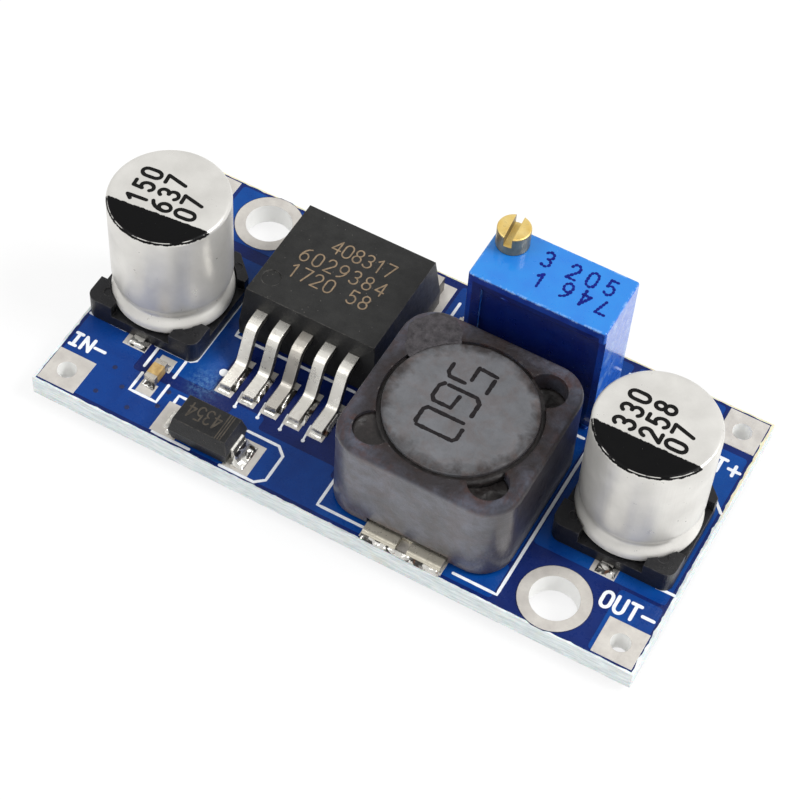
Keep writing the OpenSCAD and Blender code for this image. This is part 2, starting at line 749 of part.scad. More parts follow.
// Chip w wide and l long, along Y, without the fired metal ends
module chip_body(x, y, w, l, h) {
    translate([x, y, seat_z]) difference() {
        translate([-w / 2, -l / 2, 0]) cube([w, l, h]);
        chip_ends(w, l, h);
    }
}
module chip_ends(w, l, h) {
    for (s = [-1, 1]) difference() {
        translate([-w / 2, s > 0 ? l / 2 - chip_end_t : -l / 2, 0]) cube([w, chip_end_t, h]);
        translate([-w / 2 + cap_wall, s > 0 ? l / 2 - chip_end_t - 1 : -l / 2 + cap_wall, cap_wall])
            cube([w - 2 * cap_wall, chip_end_t + 1 - cap_wall, h - 2 * cap_wall]);
    }
}
module chip_capacitor_body() {
    color("#b08a55") chip_body(chip_c_x, chip_c_y, chip_c_w, chip_c_l, chip_c_h);
}
module chip_capacitor_end_caps() {
    color("#bdbab2") translate([chip_c_x, chip_c_y, seat_z]) chip_ends(chip_c_w, chip_c_l, chip_c_h);
}
module chip_resistor_body() {
    color("#1d1d1f") chip_body(chip_r_x, chip_r_y, chip_r_w, chip_r_l, chip_r_h);
}
module chip_resistor_end_caps() {
    color("#bdbab2") translate([chip_r_x, chip_r_y, seat_z]) chip_ends(chip_r_w, chip_r_l, chip_r_h);
}

// ---------------------------------------------------------------- trimmer

// Room inside the housing: a box for the wheel and element, a round well for the worm
module trimmer_room(h) {
    translate([trim_x - element_w / 2, element_y, trim_z])
        cube([element_w, cavity_back_y - element_y, h]);
    translate([screw_x, screw_y, trim_z]) cylinder(d = worm_d + 2 * cavity_gap, h = h);
}

module trimmer_housing() {
    color("#2f7fe0") difference() {
        translate([trim_x, trim_front_y + trim_w / 2, trim_z])
            soft_block(trim_l, trim_w, trim_h, 0.2, 0.1);
        translate([trim_left + trim_rim, trim_front_y - 1, trim_z - 1])
            cube([trim_l, 1 + trim_recess, 1 + trim_h - trim_rim]);
        translate([0, 0, -1]) trimmer_room(trim_h - trim_roof + 1);
        translate([screw_x, screw_y, trim_z]) {
            cylinder(d = neck_d + 2 * running_gap, h = trim_h + 1);
            translate([0, 0, trim_h - trim_roof])
                cylinder(d = neck_d + 2 * seal_wire_d, h = trim_roof - neck_wall_h);
        }
    }
    color("#2f7fe0") {
        translate([wheel_x, cavity_back_y + 0.1, wheel_z]) rotate([90, 0, 0])
            cylinder(d = pivot_d, h = 0.1 + wheel_t + 0.2);
        for (sx = [-1, 1], sy = [-1, 1])
            translate([trim_x + sx * (trim_l / 2 - foot_inset),
                       pin_y + sy * (trim_w / 2 - foot_inset), top_z])
                cylinder(d = foot_d, h = trim_standoff);
    }
}

// Brass screw: slotted head, neck with a seal groove, worm and lower journal
module trimmer_screw() {
    color("#c9a45c") translate([screw_x, screw_y, 0]) {
        difference() {
            translate([0, 0, screw_top + running_gap]) rotate_extrude() intersection() {
                edge_profile(head_d, head_h - running_gap, 0.1);
                square([head_d, head_h]);
            }
            translate([0, 0, screw_top + head_h - slot_depth]) rotate(slot_angle)
                translate([-slot_w / 2, -head_d, 0]) cube([slot_w, 2 * head_d, head_h]);
        }
        difference() {
            translate([0, 0, neck_z]) cylinder(d = neck_d, h = screw_top + 0.3 - neck_z);
            translate([0, 0, seal_z]) rotate_extrude() translate([neck_d / 2 + seal_wire_d / 2 - 0.05, 0])
                circle(d = seal_wire_d);
        }
        translate([0, 0, worm_z]) worm();
        translate([0, 0, shaft_z]) cylinder(d = journal_d, h = neck_z + 0.1 - shaft_z);
    }
}

// Single-start worm, cut by turning an off-centre circle as it rises; its crest
// faces the gap between two teeth at the height of the wheel's axis
module worm() {
    rotate(-180 * worm_turns) linear_extrude(worm_h, twist = -360 * worm_turns, slices = 10 * worm_turns)
        translate([thread_h / 2, 0]) circle(d = worm_d - thread_h, $fn = 16);
}

module trimmer_seal_ring() {
    color("#33302e") translate([screw_x, screw_y, seal_z]) rotate_extrude()
        translate([neck_d / 2 + seal_wire_d / 2 - 0.05, 0]) circle(d = seal_wire_d - seal_clearance);
}

// Toothed wheel that the worm turns, one tooth for each turn of the screw
module trimmer_worm_wheel() {
    root = wheel_outer_r - thread_h;
    step = 360 / wheel_teeth;
    color("#e8e4d8") translate([wheel_x, screw_y + wheel_t / 2, wheel_z]) rotate([90, 0, 0])
        difference() {
            linear_extrude(wheel_t) polygon([for (i = [0 : wheel_teeth - 1], k = [0 : 3])
                let (a = 180 + (i + 0.5) * step + [-0.3, -0.1, 0.1, 0.3][k] * step,
                     r = k == 0 || k == 3 ? root : wheel_outer_r) r * [cos(a), sin(a)]]);
            translate([0, 0, -1]) cylinder(d = pivot_d + 2 * running_gap, h = wheel_t + 2);
        }
}

// Spring wiper riveted to the wheel's face, touching the element
module trimmer_wiper() {
    face_y = screw_y - wheel_t / 2;
    reach = face_y - (element_y + element_t) - contact_gap;
    color("#c9a45c") translate([wheel_x, face_y, wheel_z]) rotate([90, 0, 0]) difference() {
        union() {
            cylinder(d = wiper_d, h = wiper_t);
            translate([-wiper_arm_w / 2, 0, 0]) cube([wiper_arm_w, wiper_arm_l, wiper_t]);
            for (x = [-wiper_arm_w / 2, wiper_arm_w / 2 - finger_tip_w])
                translate([x, wiper_arm_l - finger_tip_l, 0]) cube([finger_tip_w, finger_tip_l, reach]);
        }
        translate([0, 0, -1]) cylinder(d = pivot_d + 2 * running_gap, h = 4);
    }
}

module trimmer_element() {
    color("#e9e7e1") translate([trim_x - element_w / 2, element_y, trim_z + base_plug_h])
        cube([element_w, element_t, element_h]);
}

// Potted base that closes the housing and holds the pins
module trimmer_base() {
    color("#1f56b8") difference() {
        trimmer_room(base_plug_h);
        translate([screw_x, screw_y, shaft_z - 0.1])
            cylinder(d = journal_d + 2 * running_gap, h = trim_h);
        for (i = [-1, 0, 1]) trimmer_pin(i);
    }
}

module trimmer_pin(i) {
    color("#c9c9c9") translate([trim_x + i * pin_pitch, pin_y, 0])
        cylinder(d = pin_d, h = trim_z + base_plug_h + 0.4);
}
module trimmer_pin_1() trimmer_pin(-1);
module trimmer_pin_2() trimmer_pin(0);
module trimmer_pin_3() trimmer_pin(1);

printed_circuit_board();
input_negative_pad();
input_positive_pad();
output_negative_pad();
output_positive_pad();
back_mounting_ring();
front_mounting_ring();
component_lands();
solder_joints();
input_capacitor_can();
input_capacitor_bung();
input_capacitor_base();
input_capacitor_front_lead();
input_capacitor_back_lead();
output_capacitor_can();
output_capacitor_bung();
output_capacitor_base();
output_capacitor_front_lead();
output_capacitor_back_lead();
regulator_body();
regulator_heat_tab();
regulator_lead_1();
regulator_lead_2();
regulator_lead_4();
regulator_lead_5();
inductor_shield();
inductor_core();
inductor_winding();
inductor_glue();
inductor_front_terminal();
inductor_back_terminal();
diode_body();
diode_left_lead();
diode_right_lead();
chip_capacitor_body();
chip_capacitor_end_caps();
chip_resistor_body();
chip_resistor_end_caps();
trimmer_housing();
trimmer_screw();
trimmer_seal_ring();
trimmer_worm_wheel();
trimmer_wiper();
trimmer_element();
trimmer_base();
trimmer_pin_1();
trimmer_pin_2();
trimmer_pin_3();
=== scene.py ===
"""Looks of the step-down converter module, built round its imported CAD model.

Lengths are named in millimetres and turned into metres where a mesh is made.
Places on the board are measured from its front corner at the input end.
Colours are sRGB values from 0 to 255.
"""
import bpy
import json
import math
from mathutils import Matrix, Vector, noise


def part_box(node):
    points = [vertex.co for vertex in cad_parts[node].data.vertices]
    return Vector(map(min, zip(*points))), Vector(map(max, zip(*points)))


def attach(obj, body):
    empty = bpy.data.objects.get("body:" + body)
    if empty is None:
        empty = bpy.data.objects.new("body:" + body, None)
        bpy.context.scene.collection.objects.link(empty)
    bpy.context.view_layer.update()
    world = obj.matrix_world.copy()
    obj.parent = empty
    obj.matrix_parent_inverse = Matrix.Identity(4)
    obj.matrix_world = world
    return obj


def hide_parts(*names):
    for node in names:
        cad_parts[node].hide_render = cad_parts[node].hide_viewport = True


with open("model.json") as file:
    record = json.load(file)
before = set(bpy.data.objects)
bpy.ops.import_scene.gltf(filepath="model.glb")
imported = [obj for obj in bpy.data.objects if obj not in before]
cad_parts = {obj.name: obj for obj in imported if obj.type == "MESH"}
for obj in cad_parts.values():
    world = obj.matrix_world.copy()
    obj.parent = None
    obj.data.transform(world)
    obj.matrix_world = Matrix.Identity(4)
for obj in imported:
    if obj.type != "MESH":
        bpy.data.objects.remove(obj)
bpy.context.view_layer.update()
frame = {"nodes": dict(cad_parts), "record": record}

MM = 0.001
NODES = frame["nodes"]
scene = bpy.context.scene


def srgb(r, g, b):
    """Linear colour of an sRGB value from 0 to 255."""
    return tuple(((c / 255 + 0.055) / 1.055) ** 2.4 for c in (r, g, b)) + (1.0,)


def mm_box(node):
    """Lowest and highest corner of a CAD node, in millimetres."""
    low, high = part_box(node)
    return Vector(low) / MM, Vector(high) / MM


def middle_of(node):
    low, high = mm_box(node)
    return (low + high) / 2


# ---- places

BOARD_LOW, BOARD_HIGH = mm_box("printed_circuit_board")
BOARD_L = BOARD_HIGH.x - BOARD_LOW.x
BOARD_W = BOARD_HIGH.y - BOARD_LOW.y
TOP_Z = BOARD_HIGH.z
BOTTOM_Z = BOARD_LOW.z
SEAT_Z = mm_box("regulator_body")[0].z

# Thickness of the mask, the masked copper and the legend on the laminate
MASK_T = 0.012
POUR_T = 0.03
INK_T = 0.042


def on_board(points):
    """Points measured from the board's corner, in the model's frame."""
    return [(BOARD_LOW.x + x, BOARD_LOW.y + y) for x, y in points]


# ---- camera, light

VIEW_TARGET = Vector((0.165, -0.974, 3.6))
VIEW_AZIMUTH = math.radians(25.333)
VIEW_ELEVATION = math.radians(54.12)
VIEW_DISTANCE = 148.053
VIEW_ROLL = math.radians(4.494)
LENS_MM = 104.28
SENSOR_MM = 36

# Place and width in metres, and power in watts, of each lamp
LAMPS = {
    "key_lamp": ((0.34, 0.1, 0.42), 0.24, 1.9),
    "side_lamp": ((-0.3, -0.26, 0.42), 0.3, 0.75),
}
STUDIO_STRENGTH = 0.7


def make_camera():
    """Camera on a line out from its target, rolled as the photograph is."""
    out = Vector((math.sin(VIEW_AZIMUTH) * math.cos(VIEW_ELEVATION),
                  -math.cos(VIEW_AZIMUTH) * math.cos(VIEW_ELEVATION),
                  math.sin(VIEW_ELEVATION)))
    side = (-out).cross(Vector((0, 0, 1))).normalized()
    rise = side.cross(-out)
    c, s = math.cos(VIEW_ROLL), math.sin(VIEW_ROLL)
    axes = Matrix((c * side + s * rise, -s * side + c * rise, out)).transposed()
    data = bpy.data.cameras.new("camera")
    data.sensor_width = SENSOR_MM
    data.lens = LENS_MM
    data.clip_start = 0.01
    camera = bpy.data.objects.new("camera", data)
    camera.matrix_world = Matrix.Translation((VIEW_TARGET + VIEW_DISTANCE * out) * MM) @ axes.to_4x4()
    scene.collection.objects.link(camera)
    scene.camera = camera


def make_lights():
    """White studio with soft round lamps, turned to the module."""
    world = bpy.data.worlds.new("studio")
    world.use_nodes = True
    background = world.node_tree.nodes["Background"]
    background.inputs["Color"].default_value = (1.0, 1.0, 1.0, 1.0)
    background.inputs["Strength"].default_value = STUDIO_STRENGTH
    scene.world = world
    for name, (place, size, power) in LAMPS.items():
        data = bpy.data.lights.new(name, "AREA")
        data.shape = "DISK"
        data.size = size
        data.energy = power
        lamp = bpy.data.objects.new(name, data)
        lamp.location = place
        lamp.rotation_euler = (-Vector(place)).to_track_quat("-Z", "Y").to_euler()
        scene.collection.objects.link(lamp)
    scene.view_settings.view_transform = "Standard"


# ---- materials

# Every material, by the name of its surface
SURFACES = {}


class Surface:
    """A Principled material built call by call; its base colour is laid on in layers.

    Places, distances and reliefs are in millimetres.
    """

    def __init__(self, name, **sockets):
        self.material = bpy.data.materials.new(name)
        self.material.use_nodes = True
        SURFACES[name] = self.material
        self.tree = self.material.node_tree
        self.shader = self.tree.nodes["Principled BSDF"]
        for key, value in sockets.items():
            self.set(key.replace("_", " "), value)
        self.coords = self.stretch(1 / MM, 1 / MM, 1 / MM, self.node("TexCoord").outputs["Object"])

    def link(self, value, socket):
        """Wire a socket to a node's output, or give it a number, a vector or an sRGB colour."""
        if isinstance(value, bpy.types.NodeSocket):
            self.tree.links.new(value, socket)
        else:
            socket.default_value = srgb(*value) if socket.type == "RGBA" else value

    def node(self, kind, inputs=None, **settings):
        """New shader node, its inputs named or numbered."""
        node = self.tree.nodes.new("ShaderNode" + kind)
        for key, value in settings.items():
            setattr(node, key, value)
        for key, value in (inputs or {}).items():
            self.link(value, node.inputs[key])
        return node

    def set(self, name, value):
        self.link(value, self.shader.inputs[name])

    def stretch(self, x, y, z, source=None):
        """Coordinates multiplied along each axis."""
        inputs = {0: source or self.coords, 1: (x, y, z)}
        return self.node("VectorMath", inputs, operation="MULTIPLY").outputs[0]

    def noise(self, scale, detail=4.0, rough=0.55, distortion=0.0, coords=None):
        return self.node("TexNoise", {"Vector": coords or self.coords, "Scale": scale, "Detail": detail,
                                      "Roughness": rough, "Distortion": distortion}).outputs["Fac"]

    def cells(self, scale):
        """Distance to the nearest of scattered points."""
        return self.node("TexVoronoi", {"Vector": self.coords, "Scale": scale}).outputs["Distance"]

    def place(self, axis):
        """Place along an axis."""
        return self.node("SeparateXYZ", {0: self.coords}).outputs[axis]

    def normal(self):
        return self.node("NewGeometry").outputs["Normal"]

    def facing(self, axis, sign=1.0):
        """1 on faces that look along an axis, or against it with sign -1, and 0 on the others."""
        split = self.node("SeparateXYZ", {0: self.normal()})
        return self.span(split.outputs[axis], 0.3 * sign, 0.8 * sign)

    def away_from(self, x, y, z=None):
        """Distance from a point, or from an upright axis if no height is given."""
        coords = self.stretch(1, 1, 0) if z is None else self.coords
        return self.node("VectorMath", {0: coords, 1: (x, y, z or 0)}, operation="DISTANCE").outputs["Value"]

    def dot(self, a, b):
        return self.node("VectorMath", {0: a, 1: b}, operation="DOT_PRODUCT").outputs["Value"]

    def within(self, axis, low, high, soft=0.05):
        """1 between two places along an axis, 0 beyond them."""
        place = self.place(axis)
        return self.times(self.span(place, low, low + soft), self.span(place, high, high - soft))

    def span(self, value, low, high, start=0.0, end=1.0):
        """Value from low..high carried over to start..end."""
        return self.node("MapRange", dict(enumerate((value, low, high, start, end)))).outputs[0]

    def drift(self, start, end, *grain):
        """Noise of a grain that wanders between two values."""
        return self.span(self.noise(*grain), 0.3, 0.7, start, end)

    def blots(self, low, high, *grain):
        """1 where noise of a grain is above a high value, 0 where it is below a low one."""
        return self.span(self.noise(*grain), low, high)

    def math(self, operation, a, b):
        return self.node("Math", {0: a, 1: b}, operation=operation).outputs[0]

    def times(self, a, b):
        return self.math("MULTIPLY", a, b)

    def plus(self, a, b):
        return self.math("ADD", a, b)

    def mix(self, share, a, b):
        return self.node("Mix", {0: share, 6: a, 7: b}, data_type="RGBA").outputs[2]

    def tones(self, share, low, high):
        """Start the base: one colour where the share is 0, the other where it is 1."""
        self.base = self.mix(share, low, high)

    def layer(self, share, strength, colour):
        """Lay a colour over the base where the share is 1, at a strength."""
        self.base = self.mix(share if strength == 1 else self.times(share, strength), self.base, colour)

    def soft_edges(self, radius):
        """Normal that rounds the sharp edges."""
        return self.node("Bevel", {"Radius": radius * MM}, samples=4).outputs[0]

    def worn_edge(self, radius, spread=0.08):
        """1 along sharp edges, 0 on flat faces: where the rounded normal leaves the true one."""
        return self.span(self.dot(self.normal(), self.soft_edges(radius)), 1.0, 1.0 - spread)

    def done(self, relief, depth, strength, edge=0.0):
        """Join the base and a relief, over edges rounded by a radius, to the shader."""
        self.set("Base Color", self.base)
        bump = {"Strength": strength, "Distance": depth * MM, "Height": relief}
        if edge:
            bump["Normal"] = self.soft_edges(edge)
        self.set("Normal", self.node("Bump", bump).outputs[0])


# Where flux has dried on the board, beside the input capacitor
FLUX_SPOT = (9.9, 5.4)


def mask_surface(name, colour, deep, light):
    """Glossy solder mask with cloudy depth, fine grain and specks."""
    s = Surface(name, Coat_Weight=0.06, Coat_Roughness=0.12, Specular_IOR_Level=0.18)
    s.tones(s.blots(0.3, 0.72, 0.35, 5, 0.6, 0.6), deep, colour)
    s.layer(s.blots(0.5, 0.72, 0.16, 3), 0.7, light)
    specks = s.times(s.span(s.cells(1.1), 0.06, 0.03), s.blots(0.5, 0.6, 0.5, 2))
    s.layer(specks, 0.6, (6, 18, 60))
    dust = s.blots(0.68, 0.8, 3.2, 6, 0.75)
    s.layer(dust, 0.35, (60, 112, 176))
    near = s.span(s.away_from(*on_board([FLUX_SPOT])[0]), 1.7, 0.2)
    s.layer(s.times(near, s.blots(0.44, 0.66, 4.0, 6, 0.8)), 0.5, (110, 164, 204))
    s.set("Roughness", s.drift(0.2, 0.42, 1.7, 5, 0.6))
    s.done(s.plus(s.noise(5.5, 3), s.times(s.noise(0.8, 3), 1.5)), 0.02, 0.5)


def laminate_surface():
    """Cut fibreglass: nearly white, with grey strands and pits, yellower at the board's back."""
    s = Surface("cut_fibreglass", Roughness=0.7, Subsurface_Weight=0.2, Subsurface_Scale=0.5 * MM)
    strands = s.noise(1.0, 5, 0.7, 0.4, s.stretch(0.8, 0.8, 7.0))
    s.tones(s.span(strands, 0.35, 0.6), (192, 202, 204), (228, 234, 234))
    s.layer(s.blots(0.6, 0.75, 0.5, 4), 0.35, (214, 210, 182))
    s.layer(s.times(s.span(s.place("Y"), 1.0, 4.0), s.facing("Z")), 0.7, (224, 214, 166))
    torn = s.span(s.noise(1.3, 6, 0.8, 0.8, s.stretch(0.5, 0.5, 5.0)), 0.62, 0.7)
    s.layer(torn, 0.6, (126, 132, 132))
    s.done(strands, 0.09, 0.6)


def ink_surface(name, colour, faded, roughness=0.6):
    """Printed ink, thinner in places."""
    s = Surface(name, Roughness=roughness, Specular_IOR_Level=0.12)
    s.tones(s.blots(0.35, 0.75, 3.0, 6, 0.7), colour, faded)
    s.done(s.noise(9.0, 3), 0.01, 0.6)


def tinned_surface():
    """Hot-air levelled tin on a land, with a warm cast and scratches; the walls in the bores painted
    near-white as painted light.
    """
    s = Surface("levelled_tin")
    flat = s.math("MAXIMUM", s.facing("Z"), s.facing("Z", -1.0))
    s.tones(s.drift(0, 1, 0.9, 5, 0.6), (198, 193, 187), (220, 216, 209))
    s.layer(s.blots(0.62, 0.76, 4.5, 5, 0.7), 0.35, (150, 142, 136))
    # Painted light: the walls of the bores near-white and not metallic; only the flat faces keep the tin.
    s.tones(flat, (248, 248, 246), s.base)
    s.set("Metallic", s.times(flat, 0.45))
    s.set("Roughness", s.drift(0.32, 0.52, 2.2, 4))
    scratch = s.noise(1.6, 5, 0.7, 0.3, s.stretch(7.0, 0.7, 1.0))
    s.done(s.plus(scratch, s.times(s.noise(1.2, 2), 0.8)), 0.03, 0.5, 0.04)


def solder_surface(name, flux_share):
    """Bright solder: smooth mirror ripples, and dark flux caught beside it."""
    s = Surface(name, Metallic=0.85)
    s.base = (226, 224, 218)
    s.layer(s.blots(0.5, 0.54, 1.3, 3, 0.5, 0.7), flux_share, (26, 23, 22))
    s.layer(s.blots(0.62, 0.66, 2.1, 3, 0.5, 0.9), flux_share * 0.6, (110, 66, 40))
    s.set("Roughness", s.span(s.noise(2.0, 3), 0.35, 0.7, 0.16, 0.34))
    s.done(s.noise(1.1, 2, 0.5, 0.6), 0.14, 0.7)


# The half-moon printed on each can: its chord, measured from the can's axis, and its turn
PRINT_CHORD = -1.62
PRINT_TURN = {"input": math.radians(6), "output": math.radians(0.5)}
BEAD_TOP = 1.15


def aluminium_surface(side):
    """Satin drawn can, with the black half-moon printed over its top and rounded rim."""
    s = Surface(side + "_satin_aluminium")
    s.tones(s.drift(0, 1, 0.45, 4, 0.5), (208, 206, 201), (226, 224, 219))
    s.layer(s.blots(0.66, 0.78, 1.8, 6, 0.75, 0.6), 0.35, (158, 155, 149))
    spots = s.times(s.span(s.cells(1.5), 0.07, 0.03), s.blots(0.5, 0.58, 0.9, 2))
    s.layer(spots, 0.7, (120, 117, 112))
    ink = can_ink_mask(s, side)
    s.layer(ink, 1, (9, 9, 10))
    bead_top = mm_box(side + "_capacitor_can")[0].z + BEAD_TOP
    metal = s.span(s.place("Z"), bead_top, bead_top + 0.3, 0.2, 0.48)
    s.set("Metallic", s.times(s.math("SUBTRACT", 1.0, ink), metal))
    s.set("Roughness", s.plus(s.drift(0.27, 0.42, 1.4, 5, 0.6), s.times(ink, 0.06)))
    s.set("Specular IOR Level", s.span(ink, 0.0, 1.0, 0.3, 0.1))
    lines = s.noise(2.2, 4, 0.6, 0.0, s.stretch(3.0, 3.0, 0.12))
    s.done(s.plus(lines, s.times(s.noise(0.7, 3), 1.2)), 0.02, 0.4)


def can_ink_mask(s, side):
    """1 in front of the chord on the can's top and rim, with frayed edges, 0 elsewhere."""
    top = mm_box(side + "_capacitor_can")[1].z
    turn = PRINT_TURN[side]
    across = Vector((-math.sin(turn), math.cos(turn), 0))
    reach = s.plus(s.dot(s.coords, across), s.drift(-0.06, 0.06, 3.5, 5, 0.7))
    edge = across.dot(middle_of(side + "_capacitor_can")) + PRINT_CHORD
    in_front = s.span(reach, edge + 0.02, edge - 0.02)
    rim = s.plus(s.place("Z"), s.drift(-0.07, 0.07, 2.6, 6, 0.8))
    on_top = s.span(rim, top - 0.22, top - 0.19)
    glint = s.times(s.within("Z", top - 0.1, top - 0.055, 0.012), s.blots(0.44, 0.52, 1.1, 4))
    whole = s.math("SUBTRACT", 1.0, s.times(glint, 0.85))
    flakes = s.times(s.span(s.noise(4.5, 6, 0.8), 0.68, 0.72, 1.0, 0.35), whole)
    return s.times(s.times(in_front, on_top), flakes)


def moulded_surface(name, colour, light, dusty, grain, roughness, dust=0.5, gloss=0.25):
    """Moulding compound: fine grain, cloudy tone, dust, small chips and rubbed edges."""
    s = Surface(name)
    s.set("Specular IOR Level", s.span(s.facing("X"), 0.0, 1.0, gloss, 0.8))
    s.tones(s.blots(0.3, 0.72, 0.9, 5, 0.65), colour, light)
    s.layer(s.blots(0.42, 0.66, 11.0, 4, 0.8), 0.35, light)
    s.layer(s.times(s.span(s.cells(2.9), 0.1, 0.05), s.blots(0.46, 0.56, 0.8, 2)), dust, dusty)
    s.layer(s.times(s.worn_edge(0.096), s.blots(0.42, 0.64, 2.2, 5, 0.7)), 0.4, dusty)
    s.set("Roughness", s.drift(roughness - 0.1, roughness + 0.1, 2.4, 5, 0.6))
    s.done(s.plus(s.noise(grain, 5, 0.7), s.times(s.noise(1.3, 3), 0.8)), 0.035, 0.6, 0.06)


def lead_surface(name="tinned_lead", tint=(238, 235, 227), sheared_and_shaded=0.85):
    """Tin-plated strip: bright, softly worn, with rub marks; its +X sides and undersides darker, partly bare
    sheared metal and partly painted shade.
    """
    s = Surface(name, Metallic=0.7)
    s.base = tint
    s.layer(s.blots(0.56, 0.72, 0.9, 5, 0.65, 0.5), 0.3, (164, 150, 132))
    line = s.span(s.noise(0.8, 3, 0.6, 1.2, s.stretch(1.0, 3.0, 3.0)), 0.62, 0.7)
    s.layer(line, 0.12, (150, 142, 130))
    # Painted shade with bare sheared metal: the +X sides and the undersides darker.
    s.layer(s.math("MAXIMUM", s.facing("X"), s.facing("Z", -1.0)), sheared_and_shaded, (44, 41, 39))
    s.set("Roughness", s.drift(0.22, 0.38, 1.6, 3))
    s.done(s.noise(1.8, 3, 0.6), 0.03, 0.5, 0.07)


def ferrite_surface(name, dark, light, rust, rust_share, gloss, clouded, dark_ring_span, wrinkles=0.05):
    """Sintered ferrite: blotchy top, glossy sides, painted shade on the +X sides, and darker on the top
    between two distances from the core's axis.
    """
    s = Surface(name, Coat_Roughness=0.28, Coat_IOR=1.75, Specular_IOR_Level=gloss)
    up = s.facing("Z")
    s.tones(s.blots(0.32, 0.7, 0.5, 6, 0.65), dark, light)
    s.layer(s.blots(0.46, 0.7, 1.5, 6, 0.75, 0.3), clouded, (34, 31, 33))
    stain = s.blots(0.46, 0.6, 0.75, 6, 0.72, 0.5)
    edges = s.math("MAXIMUM", s.worn_edge(0.9, 0.12), 0.25)
    s.layer(s.times(stain, edges), rust_share, rust)
    away = s.plus(s.away_from(*middle_of("inductor_core").xy),
                  s.drift(-0.55, 0.55, 0.7, 4, 0.6, 0.3))
    # Darkened on the top between two distances from the core's axis.
    s.layer(s.times(s.span(away, *dark_ring_span), up), 0.85, (34, 28, 27))
    # Painted shade: the +X sides darker.
    s.layer(s.facing("X"), 0.75, (36, 31, 35))
    chips = s.times(s.worn_edge(0.16), s.blots(0.56, 0.62, 2.6, 6, 0.75))
    s.layer(chips, 0.6, (130, 124, 122))
    s.set("Coat Weight", s.span(up, 0.0, 1.0, 0.75, 0.02))
    s.set("Roughness", s.plus(s.drift(0.34, 0.5, 1.5, 5, 0.6), s.times(up, 0.14)))
    s.done(s.plus(s.noise(3.5, 6, 0.75), s.times(s.noise(0.8, 4, 0.6, 0.6), 2.4)), wrinkles, 0.6, 0.14)


def glue_surface(name, dark, light, roughness, relief):
    """Cured glue with an uneven skin."""
    s = Surface(name, Specular_IOR_Level=0.4)
    s.tones(s.blots(0.35, 0.68, 1.9, 6, 0.7), dark, light)
    s.set("Roughness", s.span(s.noise(1.8, 4), 0.35, 0.65, roughness, roughness + 0.3))
    s.done(s.noise(1.9, 5, 0.65, 0.8), relief, 0.8)


def brass_surface():
    """Turned brass: painted light and shade, brighter gold on top and duller, greyer on the sides; tarnished
    in places.
    """
    s = Surface("turned_brass", Metallic=0.75)
    tone = s.drift(0, 1, 1.5, 4)
    gold = s.mix(tone, (236, 200, 112), (252, 226, 150))
    side = s.mix(tone, (134, 122, 96), (172, 160, 132))
    # Painted light and shade: the top brighter gold, the sides duller and greyer.
    s.tones(s.facing("Z"), side, gold)
    s.layer(s.blots(0.55, 0.74, 3.0, 6, 0.75), 0.5, (150, 110, 52))
    s.set("Roughness", s.drift(0.28, 0.48, 2.0, 4))
    s.done(s.noise(4.0, 5, 0.7), 0.03, 0.5, 0.06)


def trimmer_surface():
    """Glossy blue plastic: painted shade, navy on the sides and darker on the sunk field in front; a painted
    reflection on the +X side; a bubble in front with a painted highlight; specks; and painted highlights
    along the top edges.
    """
    s = Surface("azure_plastic", Coat_Weight=0.7, Coat_Roughness=0.08, Specular_IOR_Level=0.5)
    low, high = mm_box("trimmer_housing")
    # Painted shade: the sides navy, the top azure.
    s.tones(s.facing("Z"), (8, 42, 132), (10, 126, 212))
    # Painted reflection: the +X side lighter.
    s.layer(s.facing("X"), 1, (24, 104, 214))
    s.layer(s.blots(0.4, 0.7, 0.7, 4), 0.3, (16, 92, 200))
    field = s.times(s.within("X", low.x + 0.35, high.x - 0.4), s.within("Z", low.z + 0.3, high.z - 0.55))
    # Painted shade: the sunk field on the front face darker still.
    s.layer(s.times(field, s.facing("Y", -1.0)), 0.8, (4, 16, 76))
    specks = s.times(s.span(s.cells(2.2), 0.07, 0.03), s.blots(0.52, 0.58, 0.8, 2))
    s.layer(specks, 0.5, (150, 190, 235))
    s.layer(s.span(s.away_from(low.x + 2.6, low.y, high.z - 1.2), 0.4, 0.3), 0.7, (8, 40, 140))
    # Painted highlight: a pale dot in the middle of the bubble.
    s.layer(s.span(s.away_from(low.x + 2.5, low.y, high.z - 1.1), 0.2, 0.08), 0.8, (120, 170, 240))
    # Painted highlights in flecks along the top edges.
    flecks = s.times(s.worn_edge(0.2), s.blots(0.5, 0.56, 3.0, 6, 0.75))
    s.layer(s.times(flecks, s.span(s.place("Z"), high.z - 0.5, high.z - 0.3)), 0.85, (176, 212, 246))
    # Painted reflection: pale patches on the +X side.
    painted_side_reflection = s.times(s.facing("X"), s.blots(0.5, 0.62, 0.8, 6, 0.7, 0.5))
    s.layer(painted_side_reflection, 0.5, (150, 190, 236))
    s.set("Roughness", s.drift(0.24, 0.44, 2.0, 5, 0.6))
    s.done(s.plus(s.noise(3.2, 4), s.times(s.noise(0.6, 2), 2.0)), 0.025, 0.4, 0.1)


def plain_surface(name, dark, light, roughness, metallic=0.0, grain=(1.8, 5, 0.65), edge=0.05):
    """Small or hidden piece: two tones, grain and softened edges."""
    s = Surface(name, Roughness=roughness, Metallic=metallic)
    s.tones(s.drift(0, 1, *grain), dark, light)
    s.done(s.noise(6.0, 4), 0.02, 0.5, edge)


